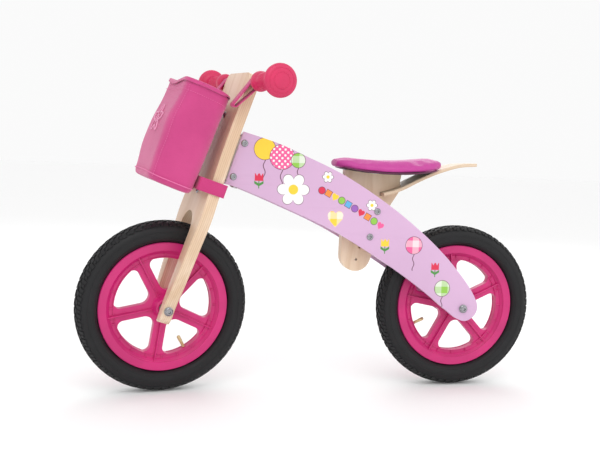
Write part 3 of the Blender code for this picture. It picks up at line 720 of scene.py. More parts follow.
def revolve(profile: Sequence[Point2], steps: int) -> Shape:
    """Turns (radius, height) points about +Z; a profile that ends where it starts makes a ring."""
    closed = profile[0] == profile[-1]
    points = list(profile[:-1] if closed else profile)
    rows: list[list[int]] = []
    made: list[Vector] = []
    for radius, height in points:
        if radius < 1e-7:
            rows.append([len(made)] * steps)
            made.append(Vector((0.0, 0.0, height)))
            continue
        rows.append(list(range(len(made), len(made) + steps)))
        for k in range(steps):
            turn = math.tau * k / steps
            made.append(Vector((radius * math.cos(turn), radius * math.sin(turn), height)))
    faces = []
    count = len(points)
    for i in range(count if closed else count - 1):
        low, high = rows[i], rows[(i + 1) % count]
        for k in range(steps):
            corners = (low[k], low[(k + 1) % steps], high[(k + 1) % steps], high[k])
            face = tuple(dict.fromkeys(corners))
            if len(face) > 2:
                faces.append(face)
    return Shape(made, faces)


def hoop(section: Sequence[Point2], steps: int) -> Shape:
    """A ring made by turning a closed section of (radius, height) points about +Z."""
    return revolve([*section, section[0]], steps)


def new_object(name: str, data: Any) -> Any:
    """An object in the scene that holds a mesh, a curve, a light or a camera."""
    obj = bpy.data.objects.new(name, data)
    bpy.context.collection.objects.link(obj)
    return obj


def evaluated(obj: Any) -> Any:
    """The mesh that an object's modifiers or its curve settings make."""
    return bpy.data.meshes.new_from_object(obj.evaluated_get(bpy.context.evaluated_depsgraph_get()))


def flat(loops: Sequence[Sequence[Point2]], thickness: float, edge: float = 0.0, steps: int = 3,
         sharp: float = 50.0) -> Shape:
    """A flat outline with holes, centred on its own XY plane.

    Args:
        loops: the outline and its holes.
        thickness: full thickness.
        edge: radius of the rounded edges.
        steps: segments in each rounded edge.
        sharp: degrees past which an edge is rounded.

    Returns:
        The shape.
    """
    curve = bpy.data.curves.new("outline", "CURVE")
    curve.dimensions = "2D"
    curve.fill_mode = "BOTH"
    curve.extrude = thickness / 2
    for loop in loops:
        spline = curve.splines.new("POLY")
        spline.points.add(len(loop) - 1)
        for point, (x, y) in zip(spline.points, loop):
            point.co = (x, y, 0.0, 1.0)
        spline.use_cyclic_u = True
    outline = new_object("outline", curve)
    shape = Shape.of(evaluated(outline))
    bpy.data.objects.remove(outline, do_unlink=True)
    return bevelled(shape, edge, steps, sharp) if edge else shape


def bevelled(shape: Shape, edge: float, steps: int, sharp: float = 40.0) -> Shape:
    """The shape with its sharp edges rounded."""
    return finished(shape.mesh("bevelled"), [("BEVEL", {
        "width": edge, "segments": steps, "limit_method": "ANGLE", "angle_limit": math.radians(sharp)})])


def finished(mesh: Any, modifiers: Sequence[tuple[str, dict[str, Any]]]) -> Shape:
    """The shape that modifiers give a mesh."""
    obj = new_object("finished", mesh)
    for kind, settings in modifiers:
        modifier = obj.modifiers.new(kind.lower(), kind)
        for key, value in settings.items():
            setattr(modifier, key, value)
    made = evaluated(obj)
    bpy.data.objects.remove(obj, do_unlink=True)
    return Shape.of(made)


def loft(rings: Sequence[Sequence[Vector]], caps: bool = True) -> Shape:
    """Joins closed rings of equal length, and closes both ends."""
    count = len(rings[0])
    points = [p for ring in rings for p in ring]
    faces = [(a + k, a + (k + 1) % count, a + count + (k + 1) % count, a + count + k)
             for a in range(0, (len(rings) - 1) * count, count) for k in range(count)]
    if caps:
        faces.append(tuple(range(count - 1, -1, -1)))
        faces.append(tuple(range((len(rings) - 1) * count, len(rings) * count)))
    return Shape(points, faces)


def cuboid(low: Sequence[float], high: Sequence[float]) -> Shape:
    """A box between two corners."""
    corners = [Vector((x, y, z)) for x in (low[0], high[0]) for y in (low[1], high[1])
               for z in (low[2], high[2])]
    faces = [(0, 1, 3, 2), (4, 6, 7, 5), (0, 4, 5, 1), (2, 3, 7, 6), (0, 2, 6, 4), (1, 5, 7, 3)]
    return Shape(corners, faces)


# Geometry Nodes -----------------------------------------------------------------------------------
class Growth:
    """A Geometry Nodes tree with named inputs, whose end realises its instances and sets the material."""

    def __init__(self, name: str, inputs: dict[str, str]) -> None:
        """Makes the tree with a geometry socket at each end and the named inputs."""
        self.tree = bpy.data.node_groups.new(name, "GeometryNodeTree")
        face = self.tree.interface
        face.new_socket("Geometry", in_out="INPUT", socket_type="NodeSocketGeometry")
        self.keys = {label: face.new_socket(label, in_out="INPUT", socket_type=kind).identifier
                     for label, kind in {**inputs, "Material": "NodeSocketMaterial"}.items()}
        face.new_socket("Geometry", in_out="OUTPUT", socket_type="NodeSocketGeometry")
        self.entry = self.tree.nodes.new("NodeGroupInput")

    def node(self, kind: str, settings: dict[str, Any] | None = None,
             inputs: dict[Any, Any] | None = None) -> Any:
        """Adds a node; an input that is a socket is linked, and any other is a plain value."""
        made = self.tree.nodes.new(kind)
        for key, value in (settings or {}).items():
            setattr(made, key, value)
        for key, value in (inputs or {}).items():
            if hasattr(value, "is_output"):
                self.tree.links.new(value, made.inputs[key])
            else:
                made.inputs[key].default_value = value
        return made

    def end(self, geometry: Any) -> None:
        """Realises the instances, sets the material and ends the tree."""
        real = self.node("GeometryNodeRealizeInstances", None, {"Geometry": geometry})
        dressed = self.node("GeometryNodeSetMaterial", None,
                            {"Geometry": real.outputs[0], "Material": self.entry.outputs["Material"]})
        self.tree.links.new(dressed.outputs[0], self.tree.nodes.new("NodeGroupOutput").inputs[0])

    def grow(self, mesh: Any, values: dict[str, Any]) -> Shape:
        """What the tree makes of a mesh, with values for its named inputs."""
        obj = new_object("grown", mesh)
        modifier = obj.modifiers.new("growth", "NODES")
        modifier.node_group = self.tree
        for label, value in values.items():
            modifier[self.keys[label]] = value
        made = evaluated(obj)
        obj.modifiers.clear()
        bpy.data.objects.remove(obj, do_unlink=True)
        return Shape.of(made)


def turned_copies() -> Growth:
    """Copies of a mesh, evenly turned about its own Y axis."""
    growth = Growth("turned_copies", {"Count": "NodeSocketInt", "Start": "NodeSocketFloat"})
    entry = growth.entry.outputs
    line = growth.node("GeometryNodeMeshLine", {"mode": "OFFSET"},
                       {"Count": entry["Count"], "Offset": (0.0, 0.0, 0.0)})
    index = growth.node("GeometryNodeInputIndex")
    share = growth.node("ShaderNodeMath", {"operation": "DIVIDE"}, {0: index.outputs[0], 1: entry["Count"]})
    angle = growth.node("ShaderNodeMath", {"operation": "MULTIPLY_ADD"},
                        {0: share.outputs[0], 1: math.tau, 2: entry["Start"]})
    turn = growth.node("ShaderNodeCombineXYZ", None, {"Y": angle.outputs[0]})
    rotation = growth.node("FunctionNodeEulerToRotation", None, {0: turn.outputs[0]})
    copies = growth.node("GeometryNodeInstanceOnPoints", None, {
        "Points": line.outputs[0], "Instance": entry["Geometry"], "Rotation": rotation.outputs[0]})
    growth.end(copies.outputs[0])
    return growth


def stitches() -> Growth:
    """Stitches along the edges of a mesh, each a little capsule."""
    growth = Growth("stitches", dict.fromkeys(("Length", "Width", "Pitch"), "NodeSocketFloat"))
    entry = growth.entry.outputs
    path = growth.node("GeometryNodeMeshToCurve", None, {"Mesh": entry["Geometry"]})
    dots = growth.node("GeometryNodeResampleCurve", {"mode": "LENGTH"},
                       {"Curve": path.outputs[0], "Length": entry["Pitch"]})
    tangent = growth.node("GeometryNodeInputTangent")
    rotation = growth.node("FunctionNodeAlignRotationToVector", {"axis": "X"}, {"Vector": tangent.outputs[0]})
    ball = growth.node("GeometryNodeMeshUVSphere", None, {"Segments": 8, "Rings": 5, "Radius": 0.5})
    size = growth.node("ShaderNodeCombineXYZ", None,
                       {"X": entry["Length"], "Y": entry["Width"], "Z": entry["Width"]})
    copies = growth.node("GeometryNodeInstanceOnPoints", None, {
        "Points": dots.outputs[0], "Instance": ball.outputs[0], "Rotation": rotation.outputs[0],
        "Scale": size.outputs[0]})
    growth.end(copies.outputs[0])
    return growth


def placed_copies() -> Growth:
    """Copies of a mesh at the points of another object, turned by its attribute "turn"."""
    growth = Growth("placed_copies", {"Places": "NodeSocketObject"})
    entry = growth.entry.outputs
    places = growth.node("GeometryNodeObjectInfo", None, {"Object": entry["Places"]})
    turn = growth.node("GeometryNodeInputNamedAttribute", {"data_type": "FLOAT_VECTOR"}, {"Name": "turn"})
    rotation = growth.node("FunctionNodeEulerToRotation", None, {0: turn.outputs[0]})
    copies = growth.node("GeometryNodeInstanceOnPoints", None, {
        "Points": places.outputs["Geometry"], "Instance": entry["Geometry"], "Rotation": rotation.outputs[0]})
    growth.end(copies.outputs[0])
    return growth


TURNED, STITCHES, PLACED = turned_copies(), stitches(), placed_copies()


def around(shape: Shape, count: int, start: float = 0.0) -> Shape:
    """The shape repeated about its Y axis."""
    return TURNED.grow(shape.mesh("repeated", merge=0.0), {"Count": count, "Start": start})


def at_places(shape: Shape, places: Sequence[Matrix]) -> Shape:
    """The shape repeated at several places."""
    points = bpy.data.meshes.new("places")
    points.from_pydata([m.translation for m in places], [], [])
    turn = points.attributes.new("turn", "FLOAT_VECTOR", "POINT")
    turn.data.foreach_set("vector", [a for m in places for a in m.to_euler()])
    holder = new_object("places", points)
    made = PLACED.grow(shape.mesh("placed", merge=0.0), {"Places": holder})
    bpy.data.objects.remove(holder, do_unlink=True)
    return made


def sewn(line: Sequence[Vector], length: float = 0.0030, width: float = 0.0008, pitch: float = 0.0044,
         closed: bool = False) -> Shape:
    """Stitches along a line of points."""
    path = bpy.data.meshes.new("seam")
    edges = [(i, i + 1) for i in range(len(line) - 1)]
    if closed:
        edges.append((len(line) - 1, 0))
    path.from_pydata(list(line), edges, [])
    return STITCHES.grow(path, {"Length": length, "Width": width, "Pitch": pitch})


def tube(line: Sequence[Vector], radius: float, sides: int = 8, closed: bool = False) -> Shape:
    """A round cord along a line of points, with closed ends."""
    count = len(line)
    rings = []
    up = Vector((0.0, 0.0, 1.0))
    for i, p in enumerate(line):
        before = line[(i - 1) % count] if closed or i else p
        after = line[(i + 1) % count] if closed or i < count - 1 else p
        ahead = (after - before).normalized()
        side = ahead.cross(up)
        if side.length < 1e-3:
            side = ahead.cross(Vector((1.0, 0.0, 0.0)))
        side.normalize()
        over = side.cross(ahead).normalized()
        up = over
        turns = [math.tau * k / sides for k in range(sides)]
        rings.append([p + radius * (math.cos(turn) * side + math.sin(turn) * over) for turn in turns])
    if not closed:
        return loft(rings)
    shape = loft(rings, caps=False)
    base = (count - 1) * sides
    shape.faces += [(base + k, base + (k + 1) % sides, (k + 1) % sides, k) for k in range(sides)]
    return shape


# Pieces -------------------------------------------------------------------------------------------
def link(name: str, mesh: Any) -> Any:
    """An object at the origin that holds a mesh of its own name."""
    mesh.name = name
    return new_object(name, mesh)


def add(name: str, shape: Shape | Any, material: Any, body: str, replaces: Sequence[str] = (),
        angle: float = 35.0) -> Any:
    """Makes a finished piece, dresses it and hands it to the frame.

    Args:
        name: the piece's name.
        shape: its shape in the row frame, or a finished mesh.
        material: its material.
        body: the CAD body that it rides on.
        replaces: the CAD nodes that it stands for.
        angle: degrees past which an edge stays sharp.

    Returns:
        The object.
    """
    mesh = shape.mesh(name, angle) if isinstance(shape, Shape) else shape
    obj = link(name, mesh)
    mesh.materials.clear()
    mesh.materials.append(material)
    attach(obj, body)
    if replaces:
        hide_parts(*replaces)
    log.info("%s: %d faces on %s", name, len(mesh.polygons), body)
    return obj


def dress_nodes(material: Any, *nodes: str) -> None:
    """Gives carried-over CAD nodes a better material."""
    for name in nodes:
        mesh = frame["nodes"][name].data
        mesh.materials.clear()
        mesh.materials.append(material)
        log.info("%s: CAD shape kept", name)


def cloth_uv(mesh: Any, place: Matrix) -> Any:
    """Fills the UV map "cloth" in metres, on the two axes of a place that each face lies along.

    Args:
        mesh: the mesh to fill.
        place: the frame whose axes the cloth follows.

    Returns:
        The same mesh.
    """
    inverse = place.inverted()
    turn = inverse.to_3x3()
    layer = mesh.uv_layers.new(name="cloth")
    for polygon in mesh.polygons:
        sizes = [abs(share) for share in turn @ polygon.normal]
        axis = sizes.index(max(sizes))
        for index in polygon.loop_indices:
            p = inverse @ mesh.vertices[mesh.loops[index].vertex_index].co
            layer.data[index].uv = tuple(p[i] for i in range(3) if i != axis)
    return mesh


@dataclass
class Wheel:
    """A moulded five-spoke wheel with a treaded tyre."""

    name: str
    place: Matrix
    hub_half: float
    first_spoke: float
    valve_window: int
    rim_radius: float = 0.1145
    rim_half: float = 0.0145
    band_inner: float = 0.0990
    web_inner: float = 0.0870
    web_half: float = 0.0070
    spokes: int = 5
    spoke_half: float = 0.0110
    corner_inner: float = 0.0155
    corner_outer: float = 0.0110
    hub_radius: float = 0.0190
    axle_radius: float = 0.0050
    bearing_radius: float = 0.0113
    bearing_width: float = 0.0070
    tread_pitches: int = 62

    def window(self, angle: float) -> list[Point2]:
        """One opening between two spokes."""
        half = math.pi / self.spokes
        inner = (self.spoke_half + self.corner_inner) / math.sin(half)
        outer = self.web_inner - self.corner_outer
        spread = half - math.asin((self.spoke_half + self.corner_outer) / outer)
        points = circle((inner * math.cos(angle), inner * math.sin(angle)), self.corner_inner, 40)
        for side in (-1, 1):
            a = angle + side * spread
            points += circle((outer * math.cos(a), outer * math.sin(a)), self.corner_outer, 40)
        edge = arc((0.0, 0.0), self.web_inner, math.degrees(angle - spread), math.degrees(angle + spread), 14)
        return hull(points + edge)

    def rim(self) -> Shape:
        """Band, ribbed ring, web with windows, raised spoke ribs and hub."""
        r, h, inner = self.rim_radius, self.rim_half, self.band_inner
        well, floor = 0.0110, 0.1042
        band = [(r - 0.0010, h), (r, h - 0.0010), (r, well), (floor, well), (floor, -well), (r, -well),
                (r, -h + 0.0010), (r - 0.0010, -h), (inner + 0.0012, -h), (inner, -h + 0.0012),
                (inner, h - 0.0012), (inner + 0.0012, h)]
        turn = math.tau / self.spokes
        windows = [self.window(self.first_spoke + turn * (k + 0.5)) for k in range(self.spokes)]
        web = flat([circle((0.0, 0.0), 0.1015, 96)] + windows, 2 * self.web_half, 0.0018, 3, 30.0)
        shape = hoop(band, 96).placed(ALONG_Y) + web.placed(SIDE_VIEW)
        for side in (-1, 1):
            face = side * self.web_half
            rib_low, rib_high = sorted((face, face + side * 0.0016))
            rib = cuboid((0.0880, rib_low - 0.0005, -0.0005), (0.0995, rib_high + 0.0005, 0.0005))
            shape += around(rib, 20)
            cone = [(0.0935, face - side * 0.0008), (0.0996, face - side * 0.0008),
                    (0.0996, side * (h - 0.0022)), (0.0982, side * (h - 0.0034)),
                    (0.0950, face + side * 0.0012)]
            foot, crest, ring = face - side * 0.001, face + side * 0.0022, self.web_inner
            lip = [(ring - 0.0006, foot), (ring + 0.0012, foot), (ring + 0.0010, crest),
                   (ring - 0.0002, crest)]
            for section in (cone, lip):
                shape += hoop(section, 96).placed(ALONG_Y)
            low, high = sorted((face - side * 0.001, face + side * 0.0050))
            spoke = cuboid((0.0170, low, -0.0012), (0.0985, high, 0.0012))
            shape += around(bevelled(spoke, 0.0008, 2), self.spokes, -self.first_spoke)
        return shape + self.hub()

    def hub(self) -> Shape:
        """The stepped hub with its bearing seats."""
        half, edge, bearing = self.hub_half, self.hub_radius, self.bearing_radius
        seat, bore = half - self.bearing_width, self.axle_radius + 0.001
        side = [(bearing, half - 0.0004), (bearing + 0.0008, half), (edge - 0.0045, half),
                (edge - 0.0030, half - 0.0010), (edge - 0.0010, self.web_half + 0.0040),
                (edge + 0.0020, self.web_half + 0.0008)]
        far_side = [(x, -y) for x, y in reversed(side)]
        seats = [(bearing, -seat), (bore, -seat), (bore, seat), (bearing, seat)]
        return hoop(side + [(edge + 0.0024, 0.0)] + far_side + seats, 48).placed(ALONG_Y)

    def section(self) -> list[Point2]:
        """The tyre's outer section, from one bead over the crown to the other."""
        half = through(((0.1152, 0.0106), (0.1172, 0.0160), (0.1225, 0.0212), (0.1310, 0.0230),
                        (0.1390, 0.0218), (0.1450, 0.0170), (0.1488, 0.0090), (0.1498, 0.0)), 5)
        return half + [(r, -y) for r, y in half[-2::-1]]

    def crown(self, across: float) -> float:
        """The carcass radius at a distance from the middle plane."""
        outer = [(y, r) for r, y in self.section() if r > 0.131 and y >= 0.0]
        outer.sort()
        for (y0, r0), (y1, r1) in zip(outer, outer[1:]):
            if y0 <= across <= y1:
                return r0 + (r1 - r0) * (across - y0) / max(y1 - y0, 1e-9)
        return outer[-1][1]

    def block(self, angle: float, reach: float, inside: float, outside: float, side: int, height: float,
              slant: float) -> Shape:
        """One tread block.

        Args:
            angle: its middle, as a share of a pitch.
            reach: its length, as a share of a pitch.
            inside: its edge nearer the middle plane.
            outside: its far edge.
            side: -1 or 1.
            height: how far it stands up.
            slant: how far its far edge is turned on, as a share of a pitch.

        Returns:
            The block in the wheel's frame.
        """
        pitch = math.tau / self.tread_pitches
        rings = []
        for lift, shrink in ((-0.0008, 1.0), (height, 0.84)):
            ring = []
            corners = ((-1, inside, 0.0), (1, inside, 0.0), (1, outside, slant), (-1, outside, slant))
            for a, y, tilt in corners:
                turn = (angle + tilt + a * 0.5 * reach * shrink) * pitch
                radius = self.crown(y) + lift * (1.0 if y < 0.017 else 0.8)
                grow = 0.0012 if lift > 0 and y > 0.018 else 0.0
                ring.append(Vector((radius * math.cos(turn), side * (y + grow), radius * math.sin(turn))))
            rings.append(ring)
        return loft(rings)

    def tyre(self) -> Shape:
        """Carcass, tread, a thin raised ring on each wall and vent nubs."""
        bead, bead_out, bead_in = 0.1046, 0.0106, 0.0076
        inside = ((0.1152, -0.0076), (0.1215, -0.0135), (0.1310, -0.0192), (0.1425, -0.0135), (0.1466, 0.0))
        inner = through(inside, 4)
        inner += [(r, -y) for r, y in inner[-2::-1]]
        section = [(bead, bead_out)] + self.section() + [(bead, -bead_out), (bead, -bead_in)]
        shape = hoop(section + inner + [(bead, bead_in)], 124).placed(ALONG_Y)
        tile = Shape()
        for side, start in ((1, 0.0), (-1, 0.5)):
            for angle, reach, low, high, height, slant in (
                    (0.15, 0.52, 0.0012, 0.0062, 0.0020, 0.12), (0.62, 0.50, 0.0076, 0.0134, 0.0021, 0.16),
                    (0.20, 0.46, 0.0146, 0.0196, 0.0022, 0.10), (0.70, 0.30, 0.0150, 0.0186, 0.0018, 0.0)):
                tile += self.block(start + angle, reach, low, high, side, height, slant)
        shape += around(tile, self.tread_pitches)
        for side in (-1, 1):
            for radius, y in ((0.1330, 0.0229), (0.1226, 0.0212)):
                shape += hoop(circle((radius, side * y), 0.0006, 8), 124).placed(ALONG_Y)
            nub = revolve([(0.0, 0.0018), (0.0004, 0.0014), (0.0005, -0.0005), (0.0, -0.0005)], 6)
            place = shift(0.1272, side * 0.0226, 0.0) @ (ALONG_Y if side > 0 else ALONG_MINUS_Y)
            shape += around(nub.placed(place), 18)
        return shape

    def valve(self) -> Shape:
        """A brass stem with its thread, nut and cap."""
        angle = self.first_spoke + math.tau / self.spokes * (self.valve_window + 0.5)
        top, base, pitch = 0.1178, 0.1020, 0.0010
        low = top - 0.0540
        cap = low + 0.0110
        profile = [(0.0, top), (0.0030, top), (0.0030, base), (0.0044, base), (0.0044, base - 0.0026),
                   (0.0029, base - 0.0026)]
        for k in range(int((base - 0.0030 - low - 0.0130) / pitch)):
            profile.append((0.0029 if k % 2 else 0.0025, base - 0.0030 - pitch * k))
        profile += [(0.0026, cap), (0.0031, cap - 0.0004), (0.0031, low + 0.0016), (0.0022, low + 0.0002),
                    (0.0, low)]
        return revolve(profile, 24).placed(Matrix.Rotation(math.radians(90.0) - angle, 4, "Y"))

    def build(self, finishes: dict[str, Any]) -> None:
        """Adds the wheel's pieces."""
        body = f"{self.name}_wheel"
        for part, make, finish, slot in (("rim", self.rim, "wheel", "wheel_plastic"),
                                         ("tyre", self.tyre, "tyre", "tyre_rubber"),
                                         ("valve", self.valve, "brass", "valve_brass")):
            node = f"{self.name}_{part}"
            add(f"{node}_fine", make().placed(self.place), finishes[finish], body, [node], 38.0)
        dress_nodes(finishes["tyre"], f"{self.name}_tube")
        dress_nodes(finishes["steel"], f"{self.name}_bearing_left", f"{self.name}_bearing_right")


@dataclass
class Fasteners:
    """Domed bolts with hexagon sockets, and the axle nuts."""

    head: float = 0.0062
    height: float = 0.0020
    socket: float = 0.0026
    shaft: float = 0.0030
    hole: float = 0.0046
    head_bolts: tuple[Point2, ...] = ((0.1131, 0.3830), (0.1311, 0.4410))
    seat_bolts: tuple[Point2, ...] = ((0.3760, 0.3290), (0.3640, 0.2830))

    def ring(self, radius: float, height: float, hexagon: bool = False) -> list[Vector]:
        """24 points round a circle or a hexagon."""
        points = []
        for k in range(24):
            a = math.tau * k / 24
            r = radius
            if hexagon:
                r /= math.cos((a % (math.pi / 3)) - math.pi / 6)
            points.append(Vector((r * math.cos(a), r * math.sin(a), height)))
        return points

    def bolt(self, grip: float) -> Shape:
        """A bolt with a domed head at -Z, and a sleeve nut with the same face at the far end."""
        h = self.head
        rings = [self.ring(self.socket, 0.0004, True), self.ring(self.socket, -0.0018, True)]
        rings += [self.ring(radius, height) for radius, height in (
            (self.socket * 1.25, -0.0021), (h * 0.72, -0.0020), (h * 0.92, -0.0013), (h, -0.0003),
            (h * 0.97, -0.00005), (self.shaft, 0.0), (self.shaft, grip / 2))]
        half = loft(rings)
        far = half.placed(Matrix.Rotation(math.pi, 4, "X")).placed(shift(0.0, 0.0, grip))
        return half + far

    def axle_nut(self) -> Shape:
        """A domed nut with a flange, its seat at z 0 and its crown along +Z."""
        rings = [self.ring(0.0055, 0.0002), self.ring(0.0080, 0.0002), self.ring(0.0080, 0.0012),
                 self.ring(0.0066, 0.0016, True), self.ring(0.0066, 0.0042, True), self.ring(0.0060, 0.0048),
                 self.ring(0.0052, 0.0060), self.ring(0.0034, 0.0066), self.ring(self.socket, 0.0065, True),
                 self.ring(self.socket, 0.0040, True)]
        return loft(rings)

    def build(self, finishes: dict[str, Any]) -> None:
        """Adds every bolt and nut."""
        spots = self.head_bolts + self.seat_bolts
        places = [BIKE @ shift(x, PLATE_OUTER, z) @ ALONG_MINUS_Y for x, z in spots]
        names = [f"{where}_bolt_{end}{kind}" for where in ("head", "seat") for end in ("lower", "upper")
                 for kind in ("", "_nut")]
        bolts = at_places(self.bolt(2 * PLATE_OUTER), places)
        add("frame_bolts", bolts, finishes["bolt"], "frame", names)
        names = [f"bracket_bolt_{end}{kind}" for end in ("lower", "upper") for kind in ("", "_nut")]
        gap = 0.0003
        back = BOARD_THICKNESS / 2 + gap + BRACKET_THICKNESS
        places = [BOARD @ shift(back, 0.0, height) @ ALONG_MINUS_X for height in BRACKET_HEIGHTS]
        bolts = at_places(self.bolt(BOARD_THICKNESS + gap + BRACKET_THICKNESS), places)
        add("bracket_bolts", bolts, finishes["bolt"], "steering", names)
        for body, prefix, seat, place in (("steering", "front", 0.0472, BOARD),
                                          ("frame", "rear", 0.0502, REAR_WHEEL)):
            spots = [place @ shift(0.0, side * seat, 0.0) @ turn
                     for side, turn in ((-1, ALONG_MINUS_Y), (1, ALONG_Y))]
            nodes = [f"{prefix}_axle_nut_{side}" for side in ("left", "right")]
            nuts = at_places(self.axle_nut(), spots)
            add(f"{prefix}_axle_nuts", nuts, finishes["bolt"], body, nodes)


@dataclass
class FrameParts:
    """Side plates, head block, seat board and tail strip."""

    plate_thickness: float = 0.012
    plate_edge: float = 0.0018
    axle_hole: float = 0.0053
    outline: tuple[Point2, ...] = (
        (0.1290, 0.4610), (0.1870, 0.4445), (0.2340, 0.4260), (0.3140, 0.3910), (0.3980, 0.3410),
        (0.4640, 0.2920), (0.5080, 0.2530), (0.5400, 0.2190), (0.5660, 0.1860), (0.5795, 0.1580),
        (0.5740, 0.1390), (0.5570, 0.1290), (0.5370, 0.1350), (0.5120, 0.1535), (0.4640, 0.1900),
        (0.3990, 0.2335), (0.2980, 0.2915), (0.1970, 0.3355), (0.1260, 0.3630), (0.0994, 0.3700))
    strip_line: tuple[Point2, ...] = (
        (0.3940, 0.3590), (0.4130, 0.3645), (0.4320, 0.3720), (0.4560, 0.3845), (0.4800, 0.3958),
        (0.5060, 0.4062), (0.5400, 0.4160), (0.5775, 0.4190))
    strip_half: float = 0.030
    strip_thickness: float = 0.006

    def plates(self) -> None:
        """Both painted side plates."""
        fasteners = Fasteners()
        holes = [circle(c, fasteners.hole) for c in fasteners.head_bolts + fasteners.seat_bolts]
        holes.append(circle((WHEELBASE, WHEEL_RADIUS), self.axle_hole))
        shape = flat([through(self.outline, 10)] + holes, self.plate_thickness, self.plate_edge, 3)
        middle = PLATE_OUTER - self.plate_thickness / 2
        for side, name in ((-1, "left"), (1, "right")):
            outer = PLATE_OUTER + side * BIKE.translation.y
            paint = PrintedPaint(f"printed_paint_{name}", side, outer).build()
            node = f"side_plate_{name}"
            placed = shape.placed(BIKE @ shift(0.0, side * middle, 0.0) @ SIDE_VIEW)
            add(f"{node}_fine", placed, paint, "frame", [node], 30.0)

    def strip(self) -> None:
        """The bent strip, with rounded corners and a depth attribute for its plies."""
        line = [Vector((x, 0.0, z)) for x, z in through(self.strip_line, 8)]
        rings, depths = [], []
        last = len(line) - 1
        half_thick, soft = self.strip_thickness / 2, 0.0010
        lengths = [0.0]
        for a, b in zip(line, line[1:]):
            lengths.append(lengths[-1] + (b - a).length)
        corner = 0.012
        for i, p in enumerate(line):
            ahead = (line[min(i + 1, last)] - line[max(i - 1, 0)]).normalized()
            up = Vector((-ahead.z, 0.0, ahead.x))
            left = lengths[-1] - lengths[i]
            trim = corner - math.sqrt(max(corner ** 2 - (corner - left) ** 2, 0.0)) if left < corner else 0.0
            half = self.strip_half - trim
            ring, depth = [], []
            for y, z in ((-half + soft, -half_thick), (half - soft, -half_thick), (half, -half_thick + soft),
                         (half, half_thick - soft), (half - soft, half_thick), (-half + soft, half_thick),
                         (-half, half_thick - soft), (-half, -half_thick + soft)):
                ring.append(p + Vector((0.0, y, 0.0)) + up * z)
                depth.append((z + half_thick) / (2 * half_thick))
            rings.append(ring)
            depths += depth
        mesh = loft(rings).placed(BIKE).mesh("tail_strip_fine", 30.0, 0.0)
        attribute = mesh.attributes.new("depth", "FLOAT", "POINT")
        attribute.data.foreach_set("value", depths)
        wood = BentPly("strip_plywood").build()
        add("tail_strip_fine", mesh, wood, "frame", ["tail_strip"])

    def build(self, finishes: dict[str, Any]) -> None:
        """Adds the frame's own pieces."""
        self.plates()
        self.strip()
        block = Plywood("block_plywood", BIKE, thickness_axis=1, length_axis=2).build()
        dress_nodes(block, "seat_board", "seat_spacer_left", "seat_spacer_right", "head_block")
        dress_nodes(finishes["black"], "steering_bush_lower", "steering_bush_upper", "saddle_base")
        dress_nodes(finishes["steel"], "rear_axle", "saddle_screw_front", "saddle_screw_rear")


